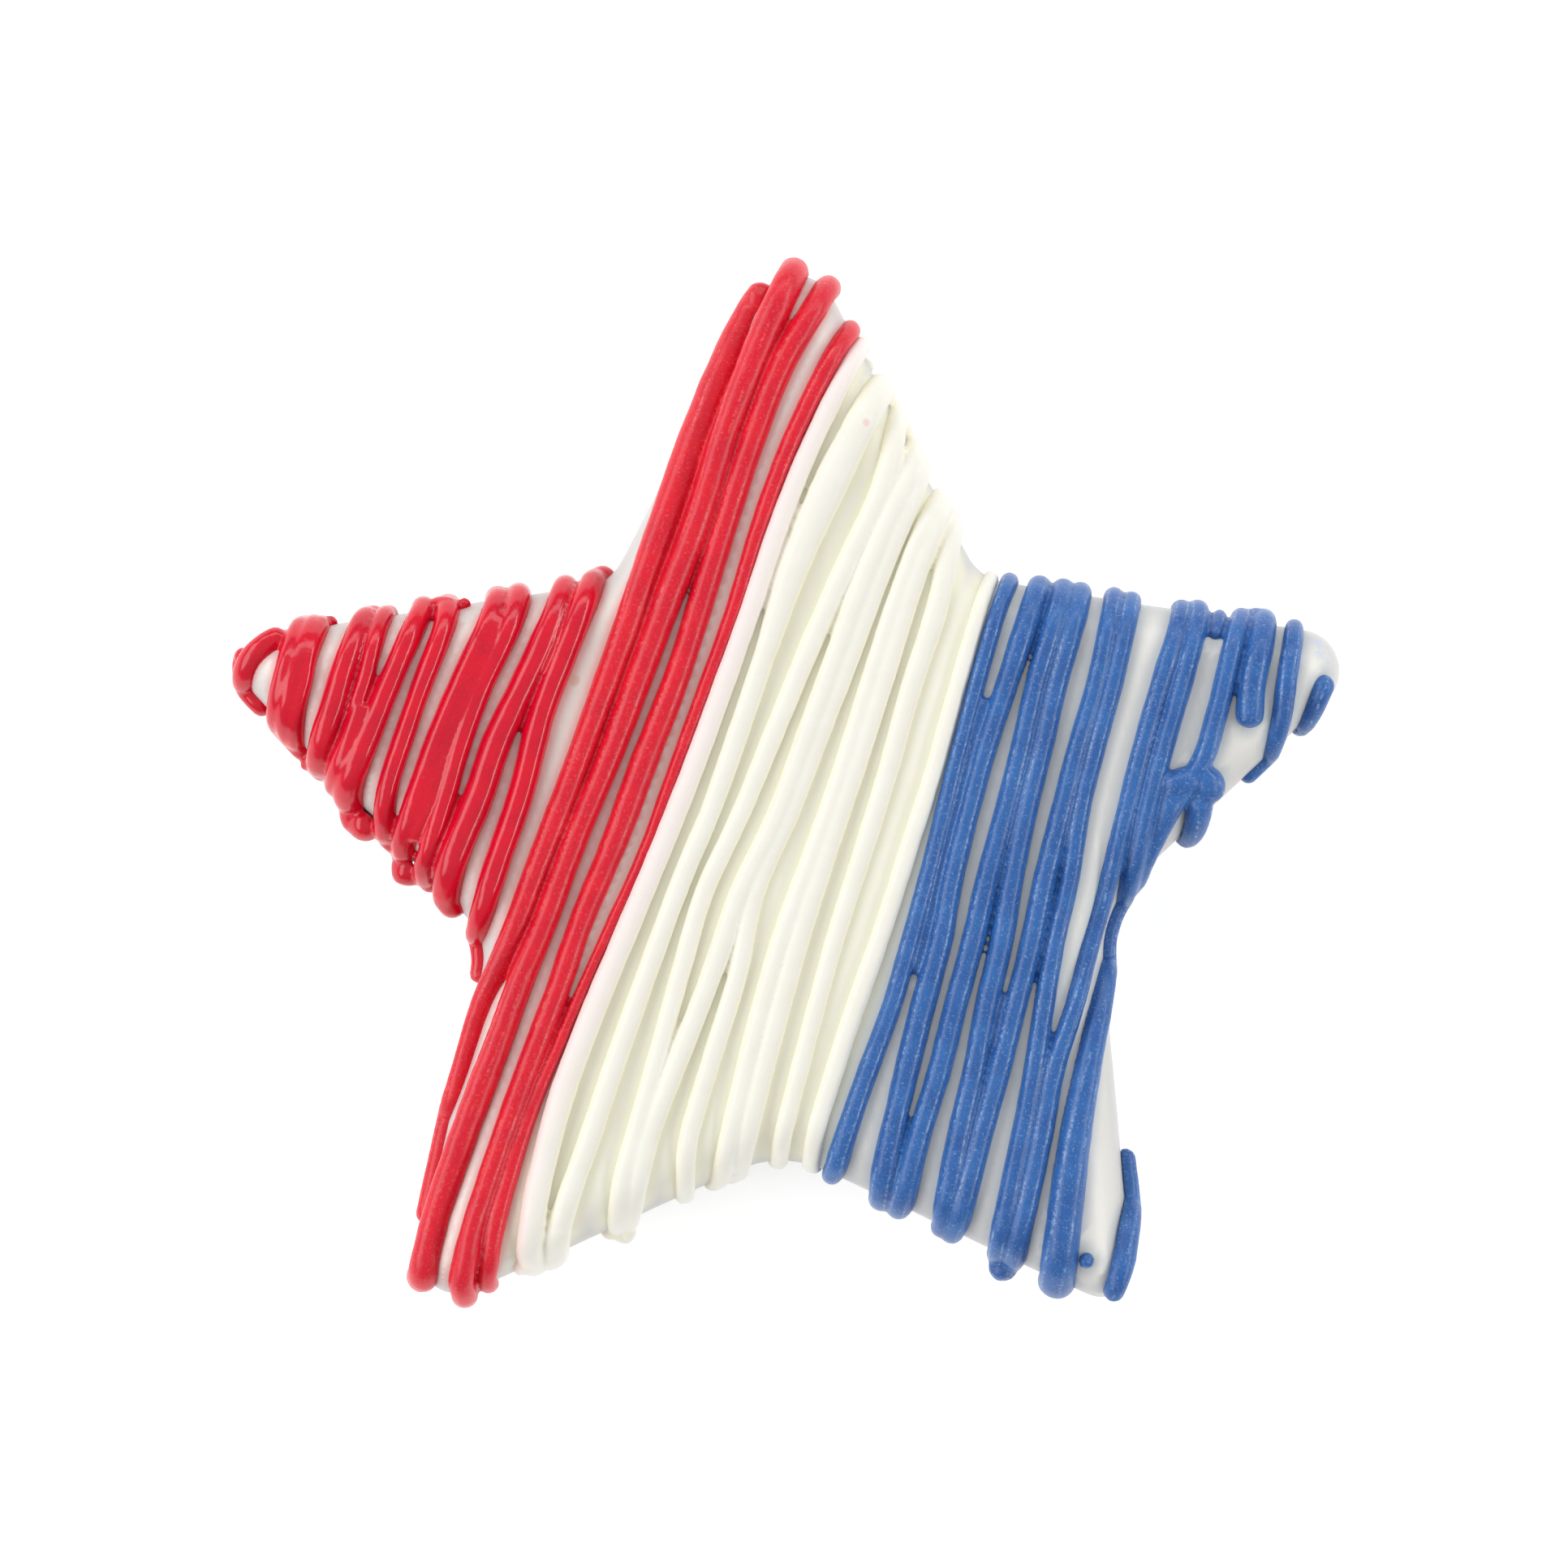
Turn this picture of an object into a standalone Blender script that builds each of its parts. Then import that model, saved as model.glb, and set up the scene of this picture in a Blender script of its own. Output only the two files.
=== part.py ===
"""Star-shaped coated biscuit with drizzled icing, modelled at real size.

The biscuit is one thick five-pointed star with a smooth white coating. Red, white and blue
icing was drizzled across it in slanting strands that fuse where they touch. Each run of
fused strands is one solid; lone strands and drops are solids of their own.

Frame: metres, +Z up, origin in the middle of the flat base, +X through the blue side.
"""

import math
from collections import namedtuple

import bmesh
import bpy
from mathutils import Vector

MM = 0.001

# ---- driving dimensions, millimetres -------------------------------------------------------

# Biscuit outline: where the straight edges would meet, and the radius that rounds each corner.
STAR_CORNERS = [
    ((0.9, 44.9), 3.4),  # top point
    ((-13.9, 16.2), 3.6),
    ((-46.5, 11.3), 3.0),  # left point
    ((-23.7, -12.6), 4.5),
    ((-30.5, -43.2), 3.0),  # lower left point
    ((-0.1, -29.4), 8.2),
    ((28.4, -42.9), 3.3),  # lower right point
    ((24.8, -10.8), 8.5),
    ((49.3, 10.9), 4.0),  # right point
    ((15.7, 16.5), 3.9),
]
CORNER_STEPS = 5

COOKIE_HEIGHT = 10.6
FOOT_INSET = 0.9  # the base stands this far inside the outline
FOOT_HEIGHT = 0.8
WALL_TOP = 5.6  # the side is upright up to here, then rounds over
SHOULDER = 4.6  # width of the rounding
SHOULDER_POWER = 2.3  # over 2: fuller than a quarter of an ellipse
CROWN_INSET = 9.5  # the top keeps rising gently this far in
CROWN = 0.35

SKIN_GAP = 0.3  # between icing and biscuit, and between two colours
STRAND_SLIMNESS = 0.62  # height of a strand against its width
WALL_FLATNESS = 0.75  # strands are thinner still where they run down the side

PATH_STEP = 0.35
THINNING = 0.17  # how far a thinned path may stray from the smooth one
WELD = 0.002 * MM

RED = (0.66, 0.016, 0.03)
WHITE = (0.88, 0.87, 0.80)
BLUE = (0.03, 0.11, 0.50)
COATING = (0.84, 0.84, 0.82)

# A strand is laid along its route, seen from above. `widths` are at its start and its end,
# `drops` says how far each end then runs down the side of the biscuit, and `lift` raises a
# strand that was laid over another one.
Strand = namedtuple("Strand", "widths drops lift route")

RED_LEFT_ARM = [
    Strand((1.3, 1.2), (0.0, 3.0), 0.0,
           [(-39.2, 12.4), (-42.0, 10.9), (-43.4, 8.5), (-43.2, 6.8), (-42.0, 5.6)]),
    Strand((1.8, 1.7), (3.0, 4.5), 0.0,
           [(-38.5, 12.8), (-39.9, 9.2), (-40.7, 5.2), (-39.4, 2.3)]),
    Strand((1.8, 1.8), (3.0, 4.0), 0.06,
           [(-37.1, 12.9), (-38.5, 9.2), (-39.3, 5.0), (-38.2, 1.5)]),
    Strand((2.3, 2.2), (3.0, 3.0), 0.0,
           [(-32.5, 13.8), (-34.3, 10.4), (-35.8, 6.2), (-37.2, 1.9), (-36.9, 0.7)]),
    Strand((1.5, 1.2), (3.0, 0.0), 0.05,
           [(-31.1, 13.7), (-32.4, 10.2), (-33.5, 7.4), (-34.3, 5.0)]),
    Strand((2.1, 2.0), (3.0, 5.0), 0.08,
           [(-28.4, 14.2), (-30.4, 10.8), (-32.8, 5.6), (-34.8, -0.2), (-34.3, -1.6)]),
    Strand((1.9, 1.8), (3.0, 3.0), 0.0,
           [(-26.9, 14.4), (-27.8, 11.1), (-29.2, 6.7), (-31.1, 1.0), (-31.8, -2.2), (-31.1, -4.4)]),
    Strand((2.1, 2.0), (3.0, 5.0), 0.0,
           [(-22.7, 14.9), (-24.6, 10.8), (-27.2, 4.3), (-29.6, -2.2), (-30.1, -5.2)]),
    Strand((2.0, 1.9), (3.0, 3.5), 0.07,
           [(-20.9, 15.2), (-22.7, 10.8), (-25.2, 4.3), (-27.6, -2.2), (-28.4, -5.6), (-27.9, -7.6)]),
    Strand((2.2, 2.0), (3.0, 3.0), 0.0,
           [(-17.3, 15.7), (-19.1, 10.8), (-22.1, 4.3), (-24.9, -2.2), (-26.9, -7.6), (-26.8, -8.8)]),
    Strand((2.2, 1.8), (3.0, 3.5), 0.07,
           [(-14.9, 16.6), (-16.4, 13.7), (-18.5, 7.5), (-21.6, -2.2), (-24.6, -12.0),
            (-24.9, -15.6)]),
]

RED_LONG = [
    Strand((2.4, 1.8), (3.0, 3.0), 0.0,
           [(-2.4, 38.6), (-5.1, 33.5), (-8.8, 23.8), (-13.1, 10.8), (-17.7, -2.2), (-22.8, -15.2),
            (-27.6, -28.2), (-29.2, -34.4)]),
    Strand((2.2, 2.3), (3.0, 3.0), 0.1,
           [(0.5, 40.9), (-1.0, 36.8), (-5.7, 23.8), (-10.4, 10.8), (-15.5, -2.2), (-20.6, -15.2),
            (-25.7, -28.2), (-28.6, -40.2)]),
    Strand((2.0, 2.2), (3.0, 3.0), 0.04,
           [(3.3, 39.0), (1.3, 36.8), (-1.4, 30.3), (-5.9, 17.3), (-10.1, 4.3), (-15.0, -8.7),
            (-19.8, -21.7), (-24.3, -34.7), (-25.9, -40.7)]),
    Strand((1.5, 1.6), (3.0, 3.0), 0.07,
           [(5.2, 36.2), (1.9, 30.3), (-3.0, 17.3), (-7.0, 4.3), (-11.8, -8.7), (-17.7, -21.1),
            (-20.8, -28.2), (-23.8, -40.0)]),
]

WHITE_EDGE_STRAND = Strand(
    (1.4, 1.9), (3.0, 3.0), 0.03,
    [(6.7, 35.2), (3.3, 30.3), (-1.9, 17.3), (-6.1, 4.3), (-11.2, -8.7), (-16.4, -21.7),
     (-18.8, -28.2), (-20.4, -37.6)])

WHITE_BAND = [
    WHITE_EDGE_STRAND,
    Strand((2.6, 1.6), (3.0, 3.0), 0.08,
           [(8.2, 31.8), (5.2, 27.0), (0.8, 17.3), (-3.6, 4.3), (-8.6, -8.7), (-13.3, -21.7),
            (-17.9, -34.7), (-19.0, -38.0)]),
    Strand((1.7, 1.7), (3.0, 3.0), 0.02,
           [(9.2, 31.0), (7.9, 23.8), (4.9, 17.3), (-0.7, 4.3), (-6.4, -8.7), (-9.8, -21.7),
            (-13.4, -34.0), (-13.5, -36.0)]),
    Strand((1.6, 1.6), (3.0, 3.0), 0.1,
           [(10.3, 27.2), (7.9, 20.5), (3.2, 7.5), (-2.0, -5.5), (-7.0, -18.5), (-11.6, -31.5),
            (-12.9, -36.2)]),
    Strand((1.5, 1.3), (3.0, 3.0), 0.05,
           [(11.0, 26.2), (8.8, 20.5), (4.4, 7.5), (-1.0, -5.5), (-4.6, -18.5), (-7.9, -31.0),
            (-8.0, -32.7)]),
]

WHITE_MIDDLE = [
    Strand((1.4, 1.5), (3.0, 3.0), 0.0,
           [(12.6, 23.0), (11.1, 20.5), (7.8, 10.8), (3.6, -2.2), (-1.0, -15.2), (-4.5, -28.2),
            (-5.3, -31.4)]),
    Strand((1.4, 1.5), (3.0, 3.0), 0.06,
           [(13.2, 22.6), (12.0, 20.5), (8.9, 10.8), (4.6, -2.2), (0.2, -15.2), (-2.9, -28.2),
            (-3.7, -30.8)]),
    Strand((1.6, 1.2), (3.0, 3.0), 0.03,
           [(13.9, 21.2), (12.4, 17.3), (11.0, 10.8), (7.3, -2.2), (3.0, -15.2), (-0.1, -28.2),
            (-0.5, -29.8)]),
]

WHITE_LAST = [
    Strand((1.2, 1.4), (3.0, 3.0), 0.0,
           [(16.6, 16.1), (14.8, 10.8), (12.6, 4.3), (8.8, -8.7), (4.5, -21.7), (2.0, -30.1)]),
]

BLUE_EDGE_STRAND = Strand(
    (1.6, 1.8), (3.0, 3.0), 0.04,
    [(18.3, 15.7), (16.2, 10.8), (13.0, -2.2), (9.5, -15.2), (4.9, -28.2), (4.2, -30.5)])

BLUE_BAND = [
    BLUE_EDGE_STRAND,
    Strand((2.0, 2.1), (3.0, 3.0), 0.0,
           [(20.2, 15.4), (18.8, 10.8), (14.7, -2.2), (11.8, -15.2), (8.7, -28.2), (7.7, -32.2)]),
    Strand((1.8, 1.7), (3.0, 3.0), 0.07,
           [(22.5, 14.9), (21.2, 10.8), (17.7, -2.2), (14.6, -15.2), (10.9, -28.2), (9.2, -32.9)]),
    Strand((1.9, 1.9), (3.0, 3.0), 0.03,
           [(23.8, 14.8), (22.7, 10.8), (19.5, -2.2), (17.0, -15.2), (14.4, -28.2), (12.9, -34.8)]),
    Strand((1.8, 1.7), (3.0, 3.0), 0.09,
           [(26.6, 14.3), (25.5, 10.8), (22.3, -2.2), (19.3, -15.2), (16.1, -28.2), (14.0, -35.2)]),
    Strand((1.7, 1.8), (3.0, 4.5), 0.05,
           [(27.8, 14.1), (27.1, 10.8), (23.9, -2.2), (21.5, -15.2), (19.1, -28.2), (17.1, -37.4)]),
    Strand((1.6, 1.7), (3.0, 3.0), 0.02,
           [(31.7, 13.5), (30.8, 10.8), (27.4, -2.2), (24.1, -15.2), (20.7, -28.2), (18.4, -37.2)]),
    Strand((1.7, 2.6), (3.0, 3.0), 0.08,
           [(33.0, 13.2), (32.4, 10.8), (29.2, -2.2), (27.1, -8.7), (25.5, -15.2), (23.4, -28.2),
            (21.9, -39.4)]),
    Strand((1.9, 1.6), (3.0, 0.0), 0.04,
           [(36.7, 12.7), (35.5, 9.5), (34.1, 4.3), (32.8, 0.4), (30.8, -1.6), (29.2, -4.8)]),
    Strand((2.1, 2.1), (3.0, 0.0), 0.1,
           [(37.9, 12.5), (37.6, 10.8), (37.1, 6.9), (37.2, 5.2)]),
    Strand((2.0, 2.2), (0.0, 2.0), 0.12,
           [(31.5, 0.9), (33.2, 0.4)]),
    Strand((2.0, 1.8), (0.0, 5.0), 0.06,
           [(31.6, -0.6), (32.6, -1.4)]),
    Strand((1.3, 1.3), (2.0, 0.0), 0.02,
           [(34.9, 12.8), (35.0, 11.2)]),
]

BLUE_NEAR_POINT = [
    Strand((1.7, 1.1), (3.0, 3.5), 0.0,
           [(40.6, 11.9), (40.3, 7.5), (39.6, 4.3), (38.2, 2.4)]),
]

BLUE_AT_POINT = [
    Strand((1.4, 1.2), (0.0, 2.0), 0.0,
           [(43.2, 8.6), (42.9, 7.2), (42.2, 6.1), (41.3, 5.0)]),
]

BLUE_LOWER_EDGE = [
    Strand((1.3, 1.4), (0.5, 2.5), 0.0,
           [(27.2, -29.6), (27.2, -32.0), (27.1, -35.0), (26.7, -38.0), (26.0, -40.0)]),
]

BLUE_DROP = [
    Strand((0.9, 0.9), (0.0, 0.0), 0.0,
           [(24.8, -37.6), (24.7, -38.5)]),
]


# ---- the biscuit's outline and profile -----------------------------------------------------


def corner_arc(before, corner, after, radius):
    """Points that round one corner, along the arc that touches both its edges."""
    to_before = (before - corner).normalized()
    to_after = (after - corner).normalized()
    half_angle = to_before.angle(to_after) / 2
    centre = corner + (to_before + to_after).normalized() * (radius / math.sin(half_angle))
    reach = radius / math.tan(half_angle)
    start = corner + to_before * reach - centre
    turn = start.angle_signed(corner + to_after * reach - centre)
    points = []
    for step in range(CORNER_STEPS + 1):
        angle = -turn * step / CORNER_STEPS
        cos, sin = math.cos(angle), math.sin(angle)
        points.append(centre + Vector((start.x * cos - start.y * sin, start.x * sin + start.y * cos)))
    return points


def inset_corners(inset):
    """The star's sharp corners, moved inwards with their edges, and their radii."""
    corners = [Vector(point) for point, _ in STAR_CORNERS]
    count = len(corners)
    moved = []
    for index, (_, radius) in enumerate(STAR_CORNERS):
        before, corner, after = corners[index - 1], corners[index], corners[(index + 1) % count]
        along = (corner - before).normalized()
        onward = (after - corner).normalized()
        inward = Vector((-along.y, along.x)) + Vector((-onward.y, onward.x))
        half_cos = inward.length / 2
        convex = along.cross(onward) > 0
        rounded = max(radius - inset, 0.35) if convex else radius + inset
        moved.append((corner + inward.normalized() * (inset / half_cos), rounded))
    return moved


def outline(inset):
    """The star's rounded outline, anticlockwise, this far inside its widest line."""
    corners = inset_corners(inset)
    points = []
    for index, (corner, radius) in enumerate(corners):
        after = corners[(index + 1) % len(corners)][0]
        points += corner_arc(corners[index - 1][0], corner, after, radius)
    return points


def top_height(inset):
    """Height of the coating this far inside the outline."""
    crown = CROWN * min(inset / CROWN_INSET, 1.0) ** 0.8 if inset > 0 else 0.0
    if inset >= SHOULDER:
        return COOKIE_HEIGHT - CROWN + crown
    fall = 1.0 - max(inset, 0.0) / SHOULDER
    rise = (1.0 - fall ** SHOULDER_POWER) ** (1.0 / SHOULDER_POWER)
    return WALL_TOP + (COOKIE_HEIGHT - CROWN - WALL_TOP) * rise + crown


def distance_inside(point, edge_line):
    """Distance from the outline, above zero inside it, and the direction that leads inwards."""
    nearest, shortest, inside = None, None, False
    for index, end in enumerate(edge_line):
        start = edge_line[index - 1]
        edge = end - start
        share = max(0.0, min(1.0, (point - start).dot(edge) / edge.length_squared))
        foot = start + edge * share
        distance = (point - foot).length
        if shortest is None or distance < shortest:
            shortest, nearest = distance, foot
        crosses = (start.y > point.y) != (end.y > point.y)
        if crosses and point.x < start.x + edge.x * (point.y - start.y) / edge.y:
            inside = not inside
    away = (point - nearest).normalized()
    return (shortest, away) if inside else (-shortest, -away)


def offset_profile(clearance):
    """Section of the surface that lies this far off the coating: inset, height and slope."""
    samples = []
    for step in range(61):
        inset = SHOULDER * 2.2 * (step / 60) ** 1.7
        rise = top_height(inset + 0.01) - top_height(max(inset - 0.01, 0.0))
        run = inset + 0.01 - max(inset - 0.01, 0.0)
        tilt = math.atan2(rise, run)
        samples.append((inset - clearance * math.sin(tilt),
                        top_height(inset) + clearance * math.cos(tilt), tilt))
    return samples


def on_profile(samples, inset):
    """Height and tilt of an offset section at an inset; beyond its ends, its end values."""
    if inset <= samples[0][0]:
        return samples[0][1], samples[0][2]
    for (low, low_z, low_tilt), (high, high_z, high_tilt) in zip(samples, samples[1:]):
        if low <= inset <= high:
            share = (inset - low) / max(high - low, 1e-9)
            return low_z + (high_z - low_z) * share, low_tilt + (high_tilt - low_tilt) * share
    return samples[-1][1], samples[-1][2]


# ---- strands -------------------------------------------------------------------------------


def smooth_route(route):
    """Evenly spaced points on a Catmull-Rom curve through a route's points."""
    points = [Vector(point) for point in route]
    padded = [2 * points[0] - points[1]] + points + [2 * points[-1] - points[-2]]
    curve = []
    for a, b, c, d in zip(padded, padded[1:], padded[2:], padded[3:]):
        steps = max(2, round((c - b).length / PATH_STEP))
        for step in range(steps):
            t = step / steps
            curve.append(0.5 * (2 * b + (c - a) * t + (2 * a - 5 * b + 4 * c - d) * t * t
                                + (3 * b - a - 3 * c + d) * t ** 3))
    return curve + [points[-1]]


def station(plan, inward, height, tilt):
    """A point of a path, with the direction that leads straight out of the coating there."""
    out = Vector((-inward.x * math.sin(tilt), -inward.y * math.sin(tilt), math.cos(tilt)))
    return Vector((plan.x, plan.y, height)), out


def run_over_edge(point, edge_line, samples, drop):
    """Stations from a route's end, out over the shoulder and down the side of the biscuit."""
    if drop <= 0:
        return []
    distance, inward = distance_inside(point, edge_line)
    wall, wall_height, wall_tilt = samples[0]
    steps = max(1, round((distance - wall) / PATH_STEP))
    tail = []
    for step in range(1, steps + 1):
        inset = distance + (wall - distance) * step / steps
        height, tilt = on_profile(samples, inset)
        tail.append(station(point + inward * (inset - distance), inward, height, tilt))
    lowest = max(wall_height - drop, FOOT_HEIGHT + 1.0)
    tail.append(station(point + inward * (wall - distance), inward, lowest, wall_tilt))
    return tail


def strand_path(strand, edge_line):
    """Centre line of a strand over the biscuit: points, and the way out of the coating."""
    samples = offset_profile(SKIN_GAP + strand.lift + strand_height(strand) / 2)
    wall = samples[0][0]
    stations = []
    for point in smooth_route(strand.route):
        distance, inward = distance_inside(point, edge_line)
        inset = max(distance, wall)
        height, tilt = on_profile(samples, inset)
        stations.append(station(point + inward * (inset - distance), inward, height, tilt))
    start_tail = run_over_edge(stations[0][0].xy, edge_line, samples, strand.drops[0])
    end_tail = run_over_edge(stations[-1][0].xy, edge_line, samples, strand.drops[1])
    return start_tail[::-1] + stations + end_tail


def strand_height(strand):
    """How far a strand stands out from the coating: a share of its middle width."""
    return sum(strand.widths) / 2 * STRAND_SLIMNESS


def thinned(stations, tolerance):
    """The stations that a path needs to stay within a tolerance of its full form."""
    first, last = stations[0][0], stations[-1][0]
    chord = last - first
    worst, worst_index = 0.0, None
    for index in range(1, len(stations) - 1):
        arm = stations[index][0] - first
        share = arm.dot(chord) / max(chord.length_squared, 1e-12)
        gap = (arm - chord * max(0.0, min(1.0, share))).length
        turn = 0.25 * (1.0 - stations[index][1].dot(stations[0][1]))
        if gap + turn > worst:
            worst, worst_index = gap + turn, index
    if worst_index is None or worst <= tolerance:
        return [stations[0], stations[-1]]
    left = thinned(stations[:worst_index + 1], tolerance)
    return left[:-1] + thinned(stations[worst_index:], tolerance)


# Section of a strand, flat side down, in shares of its width and height.
SECTION = [(-0.4, -0.5), (0.4, -0.5), (0.5, 0.1), (0.0, 0.5), (-0.5, 0.1)]
CAP_SHARE = 0.55
CAP_REACH = 0.38


def strand_rings(stations, widths, full_height, swell):
    """Rings of points along a strand, with a smaller one past each end to round it off."""
    height = full_height + 2 * swell
    last = len(stations) - 1
    travelled = [0.0]
    for (before, _), (after, _) in zip(stations, stations[1:]):
        travelled.append(travelled[-1] + (after - before).length)
    rings = []
    for index, (point, out) in enumerate(stations):
        before = stations[max(index - 1, 0)][0]
        after = stations[min(index + 1, last)][0]
        along = (after - before).normalized()
        across = along.cross(out).normalized()
        up = across.cross(along).normalized()
        width = widths[0] + (widths[1] - widths[0]) * travelled[index] / travelled[-1] + 2 * swell
        flat = 1.0 - (1.0 - WALL_FLATNESS) * (1.0 - abs(out.z)) ** 2
        centre = point - up * (height * (1.0 - flat) / 2)
        ring = [centre + across * (s * width) + up * (n * height * flat) for s, n in SECTION]
        rings.append(ring)
        if index in (0, last):
            beyond = along * (width * CAP_REACH * (-1 if index == 0 else 1))
            cap = [centre + (corner - centre) * CAP_SHARE + beyond for corner in ring]
            rings.insert(0 if index == 0 else len(rings), cap)
    return rings


def loft(name, rings):
    """One closed object from rings of points, each joined to the next, its ends filled."""
    mesh = bpy.data.meshes.new(name)
    body = bmesh.new()
    loops = [[body.verts.new(Vector(corner) * MM) for corner in ring] for ring in rings]
    for lower, upper in zip(loops, loops[1:]):
        for index in range(len(lower)):
            body.faces.new((lower[index - 1], lower[index], upper[index], upper[index - 1]))
    body.faces.new(loops[0][::-1])
    body.faces.new(loops[-1])
    bmesh.ops.recalc_face_normals(body, faces=body.faces)
    bmesh.ops.triangulate(body, faces=body.faces)
    body.to_mesh(mesh)
    body.free()
    thing = bpy.data.objects.new(name, mesh)
    bpy.context.collection.objects.link(thing)
    return thing


def strand_object(name, strand, edge_line, swell=0.0):
    """One strand of icing as a closed object; a swell makes it a cutter with clearance."""
    stations = thinned(strand_path(strand, edge_line), THINNING)
    return loft(name, strand_rings(stations, strand.widths, strand_height(strand), swell))


# ---- joining, cutting and finishing --------------------------------------------------------


def combine(target, tool, operation):
    """Apply one Boolean to the target and remove the tool object.

    Strands meet at such flat angles that the exact solver leaves open edges between them,
    so this uses the manifold one; all strands are closed, as it needs.
    """
    step = target.modifiers.new(operation.lower(), "BOOLEAN")
    step.operation = operation
    step.solver = "MANIFOLD"
    step.object = tool
    evaluated = target.evaluated_get(bpy.context.evaluated_depsgraph_get())
    result = bpy.data.meshes.new_from_object(evaluated)
    target.modifiers.clear()
    target.data = result
    bpy.data.objects.remove(tool)


def tidy_mesh(thing):
    """Weld the slivers that joining leaves, and triangulate."""
    body = bmesh.new()
    body.from_mesh(thing.data)
    bmesh.ops.remove_doubles(body, verts=body.verts, dist=WELD)
    bmesh.ops.dissolve_degenerate(body, edges=body.edges, dist=WELD / 2)
    bmesh.ops.triangulate(body, faces=body.faces)
    bmesh.ops.recalc_face_normals(body, faces=body.faces)
    body.to_mesh(thing.data)
    body.free()


def finish(thing, material):
    """Give an object its one material and smooth shading with sharp creases kept."""
    thing.data.materials.clear()
    thing.data.materials.append(material)
    thing.data.shade_smooth()
    thing.data.set_sharp_from_angle(angle=math.radians(50))


def icing(name, strands, edge_line, material, clear_of=None):
    """A node of icing: its strands joined into one solid, kept clear of the next colour."""
    thing = strand_object(name, strands[0], edge_line)
    for strand in strands[1:]:
        combine(thing, strand_object("strand", strand, edge_line), "UNION")
    if clear_of is not None:
        combine(thing, strand_object("cutter", clear_of, edge_line, SKIN_GAP), "DIFFERENCE")
    tidy_mesh(thing)
    finish(thing, material)
    return thing


def plain_material(name, colour, roughness):
    """A Principled material of one colour."""
    material = bpy.data.materials.new(name)
    material.use_nodes = True
    shader = material.node_tree.nodes["Principled BSDF"]
    shader.inputs["Base Color"].default_value = (*colour, 1.0)
    shader.inputs["Roughness"].default_value = roughness
    shader.inputs["Metallic"].default_value = 0.0
    return material


def coated_cookie(material):
    """The star: a flat foot, an upright side, a full rounded shoulder and a gentle crown."""
    levels = [(FOOT_INSET, 0.0), (FOOT_INSET * 0.3, FOOT_HEIGHT * 0.35)]
    levels += [(0.0, FOOT_HEIGHT), (0.0, WALL_TOP)]
    for share in (0.06, 0.2, 0.45, 1.0):
        levels.append((SHOULDER * share, top_height(SHOULDER * share)))
    levels.append((CROWN_INSET, COOKIE_HEIGHT))
    rings = [[(p.x, p.y, height) for p in outline(inset)] for inset, height in levels]
    thing = loft("coated_cookie", rings)
    finish(thing, material)
    return thing


def main():
    for old in list(bpy.data.objects):
        bpy.data.objects.remove(old)

    red = plain_material("red_icing", RED, 0.32)
    white = plain_material("white_icing", WHITE, 0.38)
    blue = plain_material("blue_icing", BLUE, 0.38)
    edge_line = outline(0.0)

    coated_cookie(plain_material("white_coating", COATING, 0.35))
    icing("red_icing_left_arm", RED_LEFT_ARM, edge_line, red)
    icing("red_icing_long", RED_LONG, edge_line, red, clear_of=WHITE_EDGE_STRAND)
    icing("white_icing_band", WHITE_BAND, edge_line, white)
    icing("white_icing_middle", WHITE_MIDDLE, edge_line, white)
    icing("white_icing_last", WHITE_LAST, edge_line, white, clear_of=BLUE_EDGE_STRAND)
    icing("blue_icing_band", BLUE_BAND, edge_line, blue)
    icing("blue_icing_near_point", BLUE_NEAR_POINT, edge_line, blue)
    icing("blue_icing_at_point", BLUE_AT_POINT, edge_line, blue)
    icing("blue_icing_lower_edge", BLUE_LOWER_EDGE, edge_line, blue)
    icing("blue_icing_drop", BLUE_DROP, edge_line, blue)


main()
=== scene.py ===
"""Looks of the iced star biscuit: its satin coating and its drizzled icing, on a white table.

The strands are laid along the same routes as the solids of the frame, in millimetres, and
melted together colour by colour, so that they fuse where they touch. Meshes are made in
millimetres and scaled to metres at the end.
"""

import math
from collections import namedtuple

import bpy
import numpy as np
from mathutils import Matrix, Vector, kdtree, noise


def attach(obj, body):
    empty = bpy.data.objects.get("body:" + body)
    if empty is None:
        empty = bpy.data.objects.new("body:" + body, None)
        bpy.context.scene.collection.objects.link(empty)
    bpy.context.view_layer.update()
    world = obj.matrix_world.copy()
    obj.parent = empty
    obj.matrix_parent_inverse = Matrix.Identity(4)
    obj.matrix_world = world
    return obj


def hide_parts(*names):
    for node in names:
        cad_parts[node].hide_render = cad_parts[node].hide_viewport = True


MM = 0.001

# ---- the biscuit, nearly as in the frame, in millimetres ------------------------------------

# Where the outline's straight edges would meet, and the radius that rounds each corner.
STAR_CORNERS = [
    ((0.9, 44.9), 3.4),  # top point
    ((-13.9, 16.2), 3.6),
    ((-46.5, 11.3), 3.0),  # left point
    ((-23.7, -12.6), 4.5),
    ((-30.5, -43.2), 3.0),  # lower left point
    ((-0.1, -29.4), 8.2),
    ((28.2, -42.8), 2.4),  # lower right point
    ((25.3, -10.3), 8.5),
    ((48.5, 11.3), 3.3),  # right point
    ((15.7, 16.5), 3.9),
]
ARC_STEPS = 14
SMALLEST_ARC = 0.35  # radius of a corner, however far inside the outline
COOKIE_HEIGHT = 10.6
FOOT_INSET = 0.9  # the underside is this much smaller all round
FOOT_HEIGHT = 0.8
WALL_TOP = 5.6  # the side is upright up to here
SHOULDER = 4.6  # how far in the rounding above it reaches
SHOULDER_POWER = 2.3  # above 2: squarer than an ellipse
CROWN_INSET = 9.5  # how far in the top still rises
CROWN = 0.35  # and by how much
CROWN_POWER = 0.8

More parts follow.
